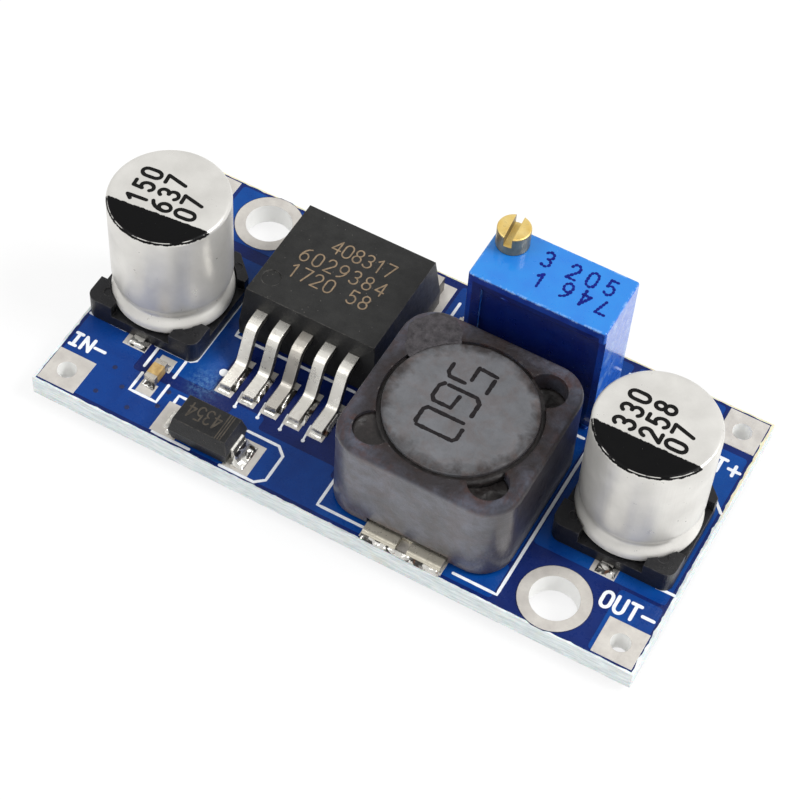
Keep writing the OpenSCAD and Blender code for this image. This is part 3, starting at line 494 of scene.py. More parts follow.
laminate_surface()
mask_surface("mask_on_laminate", (12, 34, 98), (8, 26, 82), (16, 46, 116))
mask_surface("mask_on_copper", (4, 62, 138), (3, 48, 118), (10, 80, 156))
ink_surface("white_legend", (240, 242, 244), (214, 219, 228))
ink_surface("black_ink", (12, 12, 12), (24, 23, 22), 0.45)
ink_surface("laser_mark", (150, 130, 106), (98, 86, 72), 0.7)
ink_surface("faint_laser_mark", (84, 78, 70), (50, 47, 44), 0.7)
ink_surface("charcoal_ink", (22, 20, 22), (42, 39, 40))
ink_surface("navy_ink", (14, 16, 104), (18, 34, 136), 0.5)
tinned_surface()
solder_surface("bright_solder", 0.93)
solder_surface("clean_solder", 0.25)
aluminium_surface("input")
aluminium_surface("output")
lead_surface()
lead_surface("tab_tin", (204, 199, 190))
lead_surface("tarnished_tin", (208, 202, 186), 0.2)
lead_surface("chip_end_tin", (196, 190, 180), 0.5)
moulded_surface("base_plastic", (15, 15, 18), (30, 30, 33), (120, 118, 120), 9.0, 0.36, 0.35, 0.35)
moulded_surface("regulator_resin", (30, 30, 30), (46, 46, 45), (140, 136, 130), 12.0, 0.46)
moulded_surface("diode_resin", (24, 24, 25), (38, 38, 39), (140, 134, 124), 10.0, 0.38, 0.3)
ferrite_surface("ferrite_shield", (50, 50, 57), (92, 94, 107), (74, 44, 34), 1, 0.25, 0.6,
                (7.2, 5.5), 0.13)
ferrite_surface("ferrite_core", (94, 95, 98), (108, 109, 113), (92, 66, 52), 0.7, 0.3, 0.16, (4.1, 5.0))
glue_surface("dark_glue", (20, 17, 17), (44, 39, 38), 0.3, 0.06)
glue_surface("crumbly_glue", (40, 37, 40), (76, 72, 75), 0.4, 0.22)
trimmer_surface()
brass_surface()
plain_surface("tan_ceramic", (146, 112, 62), (206, 176, 116), 0.4, grain=(1.6, 5, 0.6), edge=0.08)
plain_surface("dark_chip", (22, 22, 24), (40, 40, 44), 0.35)
plain_surface("via_and_ring_shade_navy", (6, 20, 62), (10, 30, 84), 0.3)
plain_surface("bung_rubber", (26, 26, 27), (40, 40, 41), 0.7)
plain_surface("enamelled_copper", (96, 48, 22), (170, 92, 44), 0.3, 0.8)
plain_surface("seal_rubber", (30, 28, 26), (46, 43, 40), 0.6)
plain_surface("wheel_nylon", (206, 202, 188), (230, 227, 216), 0.45)
plain_surface("wiper_spring", (196, 156, 84), (224, 190, 122), 0.35, 0.9)
plain_surface("alumina", (226, 224, 216), (240, 239, 233), 0.6)
plain_surface("potting_resin", (18, 66, 158), (34, 96, 196), 0.35)

# Surface of each CAD node, by the first of these words that its name holds
NODE_SURFACES = {
    "circuit_board": "cut_fibreglass",
    "pad": "levelled_tin",
    "mounting_ring": "levelled_tin",
    "lands": "levelled_tin",
    "joints": "clean_solder",
    "input_capacitor_can": "input_satin_aluminium",
    "output_capacitor_can": "output_satin_aluminium",
    "bung": "bung_rubber",
    "trimmer_base": "potting_resin",
    "base": "base_plastic",
    "lead": "tinned_lead",
    "pin": "tinned_lead",
    "heat_tab": "tab_tin",
    "regulator_body": "regulator_resin",
    "shield": "ferrite_shield",
    "core": "ferrite_core",
    "winding": "enamelled_copper",
    "glue": "dark_glue",
    "terminal": "tarnished_tin",
    "diode_body": "diode_resin",
    "chip_capacitor_body": "tan_ceramic",
    "chip_resistor_body": "dark_chip",
    "end_caps": "chip_end_tin",
    "housing": "azure_plastic",
    "screw": "turned_brass",
    "seal": "seal_rubber",
    "wheel": "wheel_nylon",
    "wiper": "wiper_spring",
    "element": "alumina",
}


def dress_nodes():
    for name, node in NODES.items():
        surface = next(surface for word, surface in NODE_SURFACES.items() if word in name)
        node.data.materials.clear()
        node.data.materials.append(SURFACES[surface])


# ---- mesh helpers

def finish_piece(name, mesh, surface, smooth=False):
    """Object of a mesh, riding on the module."""
    mesh.materials.clear()
    mesh.materials.append(SURFACES[surface])
    mesh.polygons.foreach_set("use_smooth", [smooth] * len(mesh.polygons))
    piece = bpy.data.objects.new(name, mesh)
    scene.collection.objects.link(piece)
    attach(piece, "module")
    return piece


class Shapes:
    """Collects solids for one piece, in millimetres."""

    def __init__(self):
        self.points = []
        self.faces = []
        self.lines = 0

    def add(self, points, faces):
        start = len(self.points)
        self.points += points
        self.faces += [[start + i for i in face] for face in faces]

    def loft(self, rings, closed_ends=True):
        """Skin over rings of equally many points."""
        n = len(rings[0])
        faces = []
        for k in range(len(rings) - 1):
            for i in range(n):
                j = (i + 1) % n
                faces.append([k * n + i, k * n + j, (k + 1) * n + j, (k + 1) * n + i])
        if closed_ends:
            faces.append(list(range(n))[::-1])
            faces.append([(len(rings) - 1) * n + i for i in range(n)])
        self.add([p for ring in rings for p in ring], faces)

    def piece(self, name, surface, slot, smooth=False):
        mesh = bpy.data.meshes.new(name)
        mesh.from_pydata([Vector(p) * MM for p in self.points], [], self.faces)
        mesh.validate()
        mesh.update()
        return finish_piece(name, mesh, surface, smooth)


class Face:
    """Flat place to print on: origin, reading direction and the glyphs' up direction."""

    def __init__(self, origin, right=(1, 0, 0), up=(0, 1, 0)):
        self.origin = Vector(origin)
        self.right = Vector(right).normalized()
        self.up = Vector(up).normalized()
        self.out = self.right.cross(self.up)

    def point(self, u, v, h):
        return self.origin + u * self.right + v * self.up + h * self.out


def wobble(x, y, z=0.0):
    """Smooth noise from -1 to 1 at a place."""
    return noise.noise(Vector((x, y, z)))


def circle(x, y, r, n=48):
    return [(x + r * math.cos(2 * math.pi * k / n), y + r * math.sin(2 * math.pi * k / n)) for k in range(n)]


def arc(x, y, rx, ry, start, end):
    """Points along an arc of an ellipse, in degrees."""
    count = max(3, round(abs(end - start) / 20))
    angles = [math.radians(start + (end - start) * k / count) for k in range(count + 1)]
    return [(x + rx * math.cos(a), y + ry * math.sin(a)) for a in angles]


def rectangle(x0, y0, x1, y1):
    return [(x0, y0), (x1, y0), (x1, y1), (x0, y1)]


def between(a, b, t):
    return (1 - t) * a[0] + t * b[0], (1 - t) * a[1] + t * b[1]


def rounded_loop(points, r, n=4):
    """Closed path with its corners rounded."""
    out = []
    for i, p in enumerate(points):
        p = Vector(p)
        a = (Vector(points[i - 1]) - p).normalized() * r + p
        b = (Vector(points[(i + 1) % len(points)]) - p).normalized() * r + p
        for k in range(n + 1):
            t = k / n
            q = (1 - t) ** 2 * a + 2 * t * (1 - t) * p + t * t * b
            out.append((q.x, q.y))
    return out


def smooth_path(points, rounds):
    """Corner cutting that keeps the two ends."""
    for _ in range(rounds):
        cut = [points[0]]
        for a, b in zip(points, points[1:]):
            cut += [between(a, b, 0.25), between(a, b, 0.75)]
        points = cut + [points[-1]]
    return points


def resample(points, step):
    """Points at equal steps along a path."""
    out = [points[0]]
    for a, b in zip(points, points[1:]):
        n = max(1, round(math.dist(a, b) / step))
        out += [between(a, b, k / n) for k in range(1, n + 1)]
    return out


# ---- printing

CAP_STEPS = 4
LINE_STEP = 0.0012
LINE_LEVELS = 9


def stroke(shapes, face, path, width, low, high, ragged=0.05):
    """Round-ended printed line along a path on a face, its height a hair off its neighbours'."""
    points = [Vector(p) for p in path]
    half = width / 2
    shapes.lines += 1
    high = high + LINE_STEP * (shapes.lines % LINE_LEVELS)
    sections = []
    for i, p in enumerate(points):
        ahead = points[min(i + 1, len(points) - 1)]
        behind = points[max(i - 1, 0)]
        along = (ahead - behind).normalized()
        grow = 1 + ragged * wobble(p.x * 3.1, p.y * 3.1, width)
        if 0 < i < len(points) - 1:
            sections.append((p, along, half * grow))
            continue
        sign = -1 if i == 0 else 1
        caps = [(p + sign * along * half * math.sin(a), along, half * grow * math.cos(a))
                for a in [math.radians(85) * k / CAP_STEPS for k in range(CAP_STEPS + 1)]]
        sections += caps[::sign]
    rings = []
    for p, along, h in sections:
        across = Vector((-along.y, along.x)) * h
        rings.append([face.point(*(p + across), low), face.point(*(p + across), high),
                      face.point(*(p - across), high), face.point(*(p - across), low)])
    shapes.loft(rings)


GLYPH_W = 0.6

# Strokes of each glyph in a box GLYPH_W wide and 1 high
GLYPHS = {
    "0": [arc(0.3, 0.7, 0.3, 0.3, 0, 180) + arc(0.3, 0.3, 0.3, 0.3, 180, 360) + [(0.6, 0.7)]],
    "1": [[(0.1, 0.78), (0.36, 1), (0.36, 0)]],
    "2": [arc(0.3, 0.72, 0.28, 0.28, 170, -30) + [(0.0, 0.0), (0.6, 0.0)]],
    "3": [arc(0.28, 0.75, 0.27, 0.25, 150, -90), arc(0.28, 0.25, 0.3, 0.26, 90, -150)],
    "4": [[(0.46, 0), (0.46, 1), (0, 0.3), (0.62, 0.3)]],
    "5": [[(0.54, 1), (0.1, 1), (0.06, 0.54)], arc(0.28, 0.32, 0.3, 0.32, 130, -145)],
    "6": [arc(0.3, 0.3, 0.29, 0.3, 0, 360), arc(0.62, 0.33, 0.61, 0.68, 100, 180)],
    "7": [[(0, 1), (0.6, 1), (0.22, 0)]],
    "8": [arc(0.3, 0.76, 0.25, 0.24, 0, 360), arc(0.3, 0.26, 0.29, 0.26, 0, 360)],
    "9": [arc(0.3, 0.7, 0.29, 0.3, 0, 360), arc(-0.02, 0.67, 0.61, 0.68, -80, 0)],
    "I": [[(0.3, 0), (0.3, 1)], [(0.08, 0), (0.52, 0)], [(0.08, 1), (0.52, 1)]],
    "N": [[(0, 0), (0, 1), (0.6, 0), (0.6, 1)]],
    "U": [[(0, 1), (0, 0.3)] + arc(0.3, 0.3, 0.3, 0.3, 180, 360) + [(0.6, 1)]],
    "T": [[(0, 1), (0.6, 1)], [(0.3, 1), (0.3, 0)]],
    "+": [[(0, 0.5), (0.7, 0.5)], [(0.35, 0.14), (0.35, 0.86)]],
    "-": [[(0, 0.5), (0.75, 0.5)]],
    " ": [],
}
GLYPHS["O"] = GLYPHS["0"]

# Three of the digits in the angular form of a stencil
STENCIL = {
    "0": [[(0.1, 0), (0.5, 0), (0.6, 0.07), (0.6, 0.93), (0.5, 1), (0.1, 1), (0, 0.93), (0, 0.07), (0.1, 0)]],
    "5": [[(0.6, 1), (0.04, 1), (0, 0.55), (0.46, 0.55)], [(0.6, 0.45), (0.6, 0.08), (0.48, 0), (0, 0)]],
    "6": [[(0.56, 1), (0.14, 1), (0, 0.88), (0, 0.08), (0.12, 0), (0.48, 0), (0.6, 0.08)],
          [(0.6, 0.08), (0.6, 0.5), (0.1, 0.54)]],
}


def corners_apart(path):
    """Cut a path at its sharp corners, and a closed one in half."""
    parts = [[path[0]]]
    for a, b, c in zip(path, path[1:], path[2:]):
        parts[-1].append(b)
        if (Vector(b) - Vector(a)).angle(Vector(c) - Vector(b), 0.0) > math.radians(50):
            parts.append([b])
    parts[-1].append(path[-1])
    if len(parts) == 1 and (Vector(path[0]) - Vector(path[-1])).length < 0.05:
        half = len(path) // 2
        parts = [path[:half + 1], path[half:]]
    return parts


def dashes(path, step, share):
    """Cut a path into dashes: one in each step, over a share of it."""
    fine = resample(path, step / 8)
    keep = max(2, round(8 * share))
    return [fine[k:k + keep + 1] for k in range(0, len(fine) - keep, 8)] or [fine]


def write(shapes, face, text, height, pitch, width, low, high, ragged=0.05, dash=None, wide=GLYPH_W,
          glyphs=GLYPHS):
    """Line of glyphs from the face's origin, pitch apart and wide times as wide as high."""
    for k, letter in enumerate(text):
        for glyph in glyphs[letter]:
            path = [(k * pitch + x * height * wide / GLYPH_W, y * height) for x, y in glyph]
            for part in corners_apart(path):
                for line in dashes(part, *dash) if dash else [part]:
                    stroke(shapes, face, resample(line, 0.3), width, low, high, ragged)


# ---- board

RINGS = ["back_mounting_ring", "front_mounting_ring"]
PADS = ["input_negative_pad", "input_positive_pad", "output_negative_pad", "output_positive_pad"]
PINS = ["trimmer_pin_" + k for k in "123"]


def hole_loops(margin):
    """Round holes of the board, each wider than its bore by a margin."""
    mounts = {mount["name"]: mount["dims"] for mount in frame["record"]["mounts"]}
    bores = [(ring, mounts["back_mounting_hole"]["r_mm"]) for ring in RINGS]
    bores += [(pad, mounts["input_negative_wire_hole"]["r_mm"]) for pad in PADS]
    bores += [(pin, (mm_box(pin)[1].x - mm_box(pin)[0].x) / 2) for pin in PINS]
    return [circle(*middle_of(node).xy, r + margin) for node, r in bores]


# Copper under the mask, as corners of each pour
TOP_POURS = [
    [(0.42, 0.4), (33.3, 0.4), (33.3, 3.1), (20.4, 3.1), (20.4, 3.95), (14.6, 3.95), (14.6, 4.95),
     (12.4, 4.95), (12.4, 3.95), (5.15, 3.95), (5.15, 11.5), (0.42, 11.5)],
    [(5.95, 4.95), (10.5, 4.95), (10.5, 12.2), (9.6, 15.55), (5.95, 15.55)],
    rectangle(3.3, 16.5, 9.4, 21.05),
    rectangle(20.45, 3.4, 33.3, 21.0),
    [(33.7, 5.35), (42.8, 5.35), (42.8, 17.9), (39.9, 17.9), (39.9, 21.05), (33.7, 21.05)],
    rectangle(39.9, 0.35, 42.85, 5.1),
]
BOTTOM_POURS = [
    [(0.5, 0.5), (26, 0.5), (26, 12), (14, 12), (14, 20.9), (0.5, 20.9)],
    rectangle(26.6, 0.5, 42.7, 20.9),
    rectangle(14.6, 12.6, 26.0, 20.9),
]
TENTED_VIAS = [(4.19, 3.42), (5.42, 2.34), (4.15, 1.21), (6.58, 1.13), (8.24, 3.51), (8.2, 2.21)]
VIA_R = 0.17


def flat_sheet(name, loops, low, high, surface, bevel=0.0):
    """Plate of the board between two heights: its outlines and its holes are closed paths."""
    curve = bpy.data.curves.new(name, "CURVE")
    curve.dimensions = "2D"
    curve.fill_mode = "BOTH"
    curve.extrude = ((high - low) / 2 - bevel) * MM
    curve.bevel_depth = bevel * MM
    curve.offset = -bevel * MM
    for loop in loops:
        line = curve.splines.new("POLY")
        line.points.add(len(loop) - 1)
        for point, (x, y) in zip(line.points, loop):
            point.co = (x * MM, y * MM, 0, 1)
        line.use_cyclic_u = True
    holder = bpy.data.objects.new(name + "_outline", curve)
    scene.collection.objects.link(holder)
    mesh = bpy.data.meshes.new_from_object(holder.evaluated_get(bpy.context.evaluated_depsgraph_get()))
    mesh.name = name
    mesh.transform(Matrix.Translation((0, 0, (low + high) / 2 * MM)))
    bpy.data.objects.remove(holder)
    return finish_piece(name, mesh, surface)


def ragged_outline(inset, depth, scale, seed):
    """Board's outline, set in and frayed."""
    corners = rectangle(inset, inset, BOARD_L - inset, BOARD_W - inset)
    path = resample(corners + corners[:1], 0.22)[:-1]
    out = []
    for x, y in path:
        pull = depth * (0.5 + 0.5 * wobble(x * scale, y * scale, seed))
        pull += depth * 0.5 * max(0.0, wobble(x * scale * 4, y * scale * 4, seed + 7))
        step_x = math.copysign(1, BOARD_L / 2 - x) if min(x, BOARD_L - x) < inset + 0.01 else 0
        step_y = math.copysign(0.5, BOARD_W / 2 - y) if min(y, BOARD_W - y) < inset + 0.01 else 0
        out.append((x + pull * step_x, y + pull * step_y))
    return on_board(out)


def make_board():
    """Laminate, mask and masked copper on both sides, tented via dots, and a dark line of painted shade round
    each ring.
    """
    core = flat_sheet("laminate_core", [ragged_outline(0.0, 0.07, 1.9, 1)] + hole_loops(0.04),
                      BOTTOM_Z, TOP_Z, "cut_fibreglass", 0.03)
    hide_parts("printed_circuit_board")
    flat_sheet("mask_top", [ragged_outline(0.1, 0.2, 1.3, 4)] + hole_loops(0.06),
               TOP_Z, TOP_Z + MASK_T, "mask_on_laminate")
    flat_sheet("mask_bottom", [ragged_outline(0.16, 0.2, 1.3, 9)] + hole_loops(0.06),
               BOTTOM_Z - MASK_T, BOTTOM_Z, "mask_on_laminate")
    for side, pours, low, high in (("top", TOP_POURS, TOP_Z, TOP_Z + POUR_T),
                                   ("bottom", BOTTOM_POURS, BOTTOM_Z - POUR_T, BOTTOM_Z)):
        loops = [on_board(rounded_loop(p, 0.3)) for p in pours]
        cuts = [hole for hole in hole_loops(0.08) if any(inside(hole[0], loop) for loop in loops)]
        flat_sheet("copper_pours_" + side, loops + cuts, low, high, "mask_on_copper", 0.01)
    via_and_shade_shapes = Shapes()
    for x, y in TENTED_VIAS:
        ring = on_board(circle(x, y, VIA_R, 16))
        via_and_shade_shapes.loft([[(px, py, z) for px, py in ring] for z in (TOP_Z, TOP_Z + POUR_T + 0.004)])
    # Painted shade: a dark navy line round each mounting ring, at the edge of the mask's opening.
    for ring in RINGS:
        low, high = mm_box(ring)
        outline = arc(*middle_of(ring).xy, (high.x - low.x) / 2 + 0.03, (high.y - low.y) / 2 + 0.03, 0, 360)
        stroke(via_and_shade_shapes, Face((0, 0, 0)), outline, 0.07, TOP_Z, TOP_Z + POUR_T + 0.008, 0.4)
    via_and_shade_shapes.piece("via_dots_and_ring_shade", "via_and_ring_shade_navy", "board_laminate")


def inside(point, loop):
    """Whether a point lies in a closed path."""
    x, y = point
    hit = False
    for (x0, y0), (x1, y1) in zip(loop, loop[1:] + loop[:1]):
        if (y0 > y) != (y1 > y) and x < (x1 - x0) * (y - y0) / (y1 - y0) + x0:
            hit = not hit
    return hit


LEGEND_W = 0.2
LEGEND_LINES = [
    [(0.4, 6.35), (3.2, 6.28)],
    [(5.5, 6.28), (8.15, 6.3), (8.45, 6.55), (8.47, 13.0)],
    [(8.1, 13.55), (6.85, 14.8)],
    [(5.75, 4.5), (5.75, 6.2)],
    [(7.9, 4.65), (7.9, 6.1)],
    [(7.35, 4.85), (7.35, 5.35)],
    [(5.95, 3.95), (5.95, 2.42), (7.95, 2.42), (7.95, 3.95)],
    [(18.5, 9.65), (9.55, 9.65), (9.55, 10.2)],
    [(9.7, 3.6), (8.97, 3.6), (8.97, 0.38), (11.7, 0.38)],
    [(14.0, 0.34), (16.5, 0.34), (17.1, 0.85), (17.1, 2.95), (16.5, 3.5), (14.2, 3.5)],
    [(20.8, 3.1), (20.8, 0.92), (24.05, 0.92)],
    [(30.5, 0.83), (33.52, 0.83), (33.52, 13.2)],
    [(32.35, 14.0), (32.95, 14.0)],
    [(41.75, 6.3), (43.0, 6.32)],
    [(41.6, 14.75), (42.94, 13.3)],
    [(20.95, 19.6), (20.95, 18.4)],
    [(22.3, 19.6), (22.3, 18.4)],
    [(33.3, 20.2), (33.7, 20.2)],
]
PIN_1_DOT = (10.45, 6.65, 0.29)
LEAD_MARKS = [(12.45, 4.75), (14.15, 4.75), (15.85, 4.7), (17.55, 4.7)]

# Place, height and width share of each text
LEGEND_TEXTS = {
    "IN-": (0.5, 3.55, 1.0, 0.6),
    "OUT-": (39.2, 3.4, 1.15, 0.52),
    "OUT+": (39.1, 16.1, 1.1, 0.6),
    "IN+": (0.5, 16.9, 1.0, 0.6),
}


def make_legend():
    """White lines, dots and texts printed on the mask."""
    shapes = Shapes()
    low, high = TOP_Z + 0.005, TOP_Z + INK_T
    face = Face((BOARD_LOW.x, BOARD_LOW.y, 0))
    for line in LEGEND_LINES:
        stroke(shapes, face, resample(line, 0.35), LEGEND_W, low, high, 0.12)
    dots = [PIN_1_DOT]
    for x, y in LEAD_MARKS:
        stroke(shapes, face, resample([(x, y), (x - 0.12, y + 1.2)], 0.3), 0.13, low, high, 0.15)
        dots.append((x + 0.02, y - 0.05, 0.13))
    for x, y, r in dots:
        disc = circle(x, y, r, 20)
        shapes.loft([[face.point(u, v, h) for u, v in disc] for h in (low, high + 0.02)])
    for text, (x, y, size, wide) in LEGEND_TEXTS.items():
        place = Face((BOARD_LOW.x + x, BOARD_LOW.y + y, 0))
        write(shapes, place, text, size, size * (wide + 0.27), 0.23, low, high, 0.1, wide=wide)
    shapes.piece("board_legend", "white_legend", "board_laminate")


# ---- solder

def solder_pool(shapes, low, high, foot_low, foot_high, rise, seed, steps=16):
    """Frozen pool over a land, drawn up towards the foot that it wets."""
    def level(x, y):
        dx = max(foot_low[0] - x, 0, x - foot_high[0])
        dy = max(foot_low[1] - y, 0, y - foot_high[1])
        wet = math.exp(-math.hypot(dx, dy) / 0.22)
        rim = min(x - low[0], high[0] - x, y - low[1], high[1] - y)
        lump = 0.5 + 0.5 * wobble(x * 1.9, y * 1.9, seed)
        return (0.03 + rise * wet + 0.2 * lump * lump) * max(0.0, min(1.0, rim / 0.16)) ** 0.5
    n, w = steps, steps + 1
    xs = [low[0] + (high[0] - low[0]) * i / n for i in range(w)]
    ys = [low[1] + (high[1] - low[1]) * j / n for j in range(w)]
    top = [(x, y, SEAT_Z + level(x, y)) for y in ys for x in xs]
    bottom = [(x, y, SEAT_Z - 0.02) for x, y, _ in top]
    below = w * w
    faces = []
    for j in range(n):
        for i in range(n):
            a = j * w + i
            faces.append([a, a + 1, a + w + 1, a + w])
            faces.append([a + below, a + w + below, a + w + 1 + below, a + 1 + below])
    rim = list(range(w)) + [j * w + n for j in range(1, w)]
    rim += [n * w + i for i in range(n - 1, -1, -1)] + [j * w for j in range(n - 1, 0, -1)]
    for a, b in zip(rim, rim[1:] + rim[:1]):
        faces.append([b, a, a + below, b + below])
    shapes.add(top + bottom, faces)


def foot_pool(shapes, name, out, back, ahead, left, right, rise, seed=None, steps=16):
    """Pool that reaches back from a foot's tip, ahead of it and past both sides; out is -1 in front."""
    low, high = mm_box(name)
    tip = low.y if out < 0 else high.y
    near, far = sorted((tip - out * back, tip + out * ahead))
    start, end = sorted((tip, tip - out))
    solder_pool(shapes, (low.x - left, near), (high.x + right, far), (low.x, start), (high.x, end),
                rise, tip if seed is None else seed, steps)


SIDES = {"front": -1, "back": 1}
REGULATOR_LEADS = ["regulator_" + name for name in ("lead_1", "lead_2", "heat_tab", "lead_4", "lead_5")]
# The two pools of each lead: sides, start, start of the wetted part, rise, seed and steps
REGULATOR_POOLS = [(0.3, 0.68, 0.1, 0.8, 0.22, 3.7, 14), (-0.6, -0.3, 0.9, 1.3, 0.2, 5.1, 10)]


def make_solder():
    """Pools at every soldered foot on the component side."""
    shapes = Shapes()
    for k, name in enumerate(REGULATOR_LEADS):
        middle = middle_of("regulator_body" if name == "regulator_heat_tab" else name).x
        tip = mm_box(name)[0].y
        for left, right, start, wet, rise, seed, steps in REGULATOR_POOLS:
            solder_pool(shapes, (middle + left, tip + start), (middle + right, tip + 2.3),
                        (middle - 0.4, tip + wet), (middle + 0.4, tip + 2.0), rise, k * seed, steps)
    for side, out in SIDES.items():
        for can in ("input", "output"):
            name = can + "_capacitor_" + side + "_lead"
            foot_pool(shapes, name, out, 0.6, 0.22, 0.15, 0.4, 0.14, mm_box(name)[0].x)
    for name, out, ahead, rise in (("diode_left_lead", -1, 0.3, 0.3), ("diode_right_lead", 1, 0.8, 0.95)):
        low, high = mm_box(name)
        tip = low.x if out < 0 else high.x
        start, end = sorted((tip, tip - out * 0.1))
        near, far = sorted((tip - out * 0.1, tip + out * ahead))
        solder_pool(shapes, (near, low.y - 0.35), (far, high.y + 0.3), (start, low.y), (end, high.y),
                    rise, low.x * 2.0, 24)
    for name in ("chip_capacitor_end_caps", "chip_resistor_end_caps"):
        for out in (-1, 1):
            foot_pool(shapes, name, out, 0.15, 0.32, 0.06, 0.06, 0.25)
    for side, out in SIDES.items():
        foot_pool(shapes, "inductor_" + side + "_terminal", out, 0.2, 0.25, 0.05, 0.05, 0.12, steps=28)
    shapes.piece("solder_pools", "bright_solder", "solder", smooth=True)


# ---- capacitors

# Radius less the can's radius, and height over its foot, down the crimp and the bead
CRIMP = [(0, 2.55), (-0.03, 2.3), (-0.14, 2.05), (-0.3, 1.8), (-0.37, 1.55), (-0.3, 1.3), (-0.1, 1.08),
         (0.04, 0.86), (0.08, 0.6), (0.06, 0.36), (-0.06, 0.16), (-0.24, 0.04), (-0.45, 0.02)]
BEAD_REACH = 0.08
TOP_EDGE_R = 0.32


def revolve(profile, centre, turns=96):
    """Points and faces of a closed body of revolution round an upright axis."""
    points = [(*centre, profile[0][1])]
    for r, z in profile[1:-1]:
        points += [(x, y, z) for x, y in circle(*centre, r, turns)]
    points.append((*centre, profile[-1][1]))
    faces = []
    rows = len(profile) - 2
    for k in range(turns):
        j = (k + 1) % turns
        faces.append([0, 1 + k, 1 + j])
        for row in range(rows - 1):
            a = 1 + row * turns
            faces.append([a + k, a + turns + k, a + turns + j, a + j])
        last = 1 + (rows - 1) * turns
        faces.append([last + j, last + k, len(points) - 1])
    return points, faces


def make_capacitor(side, lines):
    """Can with its rounded rim, crimp and bead, and the digits printed on its top."""
    low, high = mm_box(side + "_capacitor_can")
    x, y = middle_of(side + "_capacitor_can").xy
    r = (high.x - low.x) / 2 - BEAD_REACH
    top, bottom = high.z, low.z
    shoulder = r - TOP_EDGE_R
    profile = [(0, top), (1.5, top), (shoulder - 0.12, top - 0.004)]
    profile += [(shoulder + TOP_EDGE_R * math.sin(a), top - TOP_EDGE_R + TOP_EDGE_R * math.cos(a))
                for a in [math.radians(10 + 80 * k / 7) for k in range(8)]]
    profile += [(r, bottom + (top - bottom - 1.0) * t + 1.0) for t in (0.8, 0.6, 0.42, 0.3)]
    profile += [(r + step, bottom + z) for step, z in smooth_path(CRIMP, 2)] + [(0, bottom + 0.02)]
    shell = Shapes()
    shell.add(*revolve(profile, (x, y)))
    can = shell.piece(side + "_capacitor_shell", side + "_satin_aluminium", "can_aluminium", smooth=True)
    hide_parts(side + "_capacitor_can")

    shapes = Shapes()
    turn = PRINT_TURN[side]
    up = Vector((-math.cos(turn), -math.sin(turn), 0))
    right = Vector((-math.sin(turn), math.cos(turn), 0))
    for text, down in zip(lines, (-1.12, 0.6, 2.26)):
        origin = Vector((x, y, top)) - down * up - 1.32 * right
        write(shapes, Face(origin, right, up), text, 1.3, 1.1, 0.26, -0.02, 0.008, 0.1, wide=0.48)
    shapes.piece(side + "_capacitor_print", "black_ink", "can_aluminium")


# ---- markings

# How far the regulator's sides lean in, and the place, as a share of its top, and pitch of each text
REGULATOR_LEAN = 0.35
REGULATOR_TEXTS = {
    "408317": (0.325, 0.665, 0.78),
    "6029384": (0.17, 0.468, 0.93),
    "1720 58": (0.17, 0.285, 0.87),
}


def make_regulator_marking():
    shapes = Shapes()
    low, high = mm_box("regulator_body")
    x0, y0 = low.x + REGULATOR_LEAN, low.y + REGULATOR_LEAN
    w, d = high.x - low.x - 2 * REGULATOR_LEAN, high.y - low.y - 2 * REGULATOR_LEAN
    for text, (u, v, pitch) in REGULATOR_TEXTS.items():
        face = Face((x0 + u * w, y0 + v * d, high.z))
        write(shapes, face, text, 1.1, pitch, 0.105, -0.02, 0.008, 0.2, wide=0.52)
    shapes.piece("regulator_marking", "laser_mark", "regulator_moulding")


def make_inductor_marking():
    """Three large stencilled digits that read towards the front of the board."""
    shapes = Shapes()
    x, y = middle_of("inductor_core").xy
    face = Face((x - 1.95, y + 3.2, mm_box("inductor_core")[1].z), (0, -1, 0), (1, 0, 0))
    write(shapes, face, "560", 2.8, 2.1, 0.27, -0.02, 0.01, 0.25, dash=(0.6, 0.72), wide=0.53,
          glyphs=STENCIL)
    shapes.piece("inductor_marking", "charcoal_ink", "ferrite_core")


def make_trimmer_marking():
    """Dotted digits, one group of them upside down."""
    shapes = Shapes()
    low, high = mm_box("trimmer_housing")
    for text, x, y, turn in (("205", 5.35, 2.85, 1), ("746", 8.7, 2.5, -1), ("3", 3.5, 2.9, 1),
                             ("1", 3.75, 1.1, 1)):
        face = Face((low.x + x, low.y + y, high.z), (turn, 0, 0), (0, turn, 0))
        write(shapes, face, text, 1.2, 1.25, 0.2, -0.02, 0.01, 0.3, dash=(0.25, 0.2), wide=0.5)
    shapes.piece("trimmer_marking", "navy_ink", "trimmer_plastic")


def make_diode_marking():
    """Three bars at the cathode, and digits that read from the back."""
    shapes = Shapes()
    low, high = mm_box("diode_body")
    face = Face((low.x, low.y, high.z))
    for k in range(3):
        x = 3.3 + 0.17 * k
        bar = resample([(x, 0.3), (x, high.y - low.y - 0.3)], 0.3)
        stroke(shapes, face, bar, 0.08, -0.02, 0.006, 0.3)
    turned = Face((low.x + 3.05, low.y + 1.95, high.z), (-1, 0, 0), (0, -1, 0))
    write(shapes, turned, "4354", 1.1, 0.62, 0.12, -0.02, 0.006, 0.3, wide=0.4)
    shapes.piece("diode_marking", "faint_laser_mark", "diode_moulding")


# ---- inductor

# Depth and roughness of the glue in the pocket at each angle round the core
GLUE_DEPTHS = {45: (1.5, 0.1), 135: (0.02, 0.16), 225: (0.28, 0.04), 315: (0.85, 0.12)}
SMEARED_POCKET = 135
POCKET_FILL_R = 1.29
POCKET_OFFSET = 0.65
# Section of the glue round the core: distance from it, and height over the shield
COLLAR = [(0.01, -1.2), (0.29, -1.2), (0.29, -0.2), (0.15, -0.32), (0.01, -0.16)]


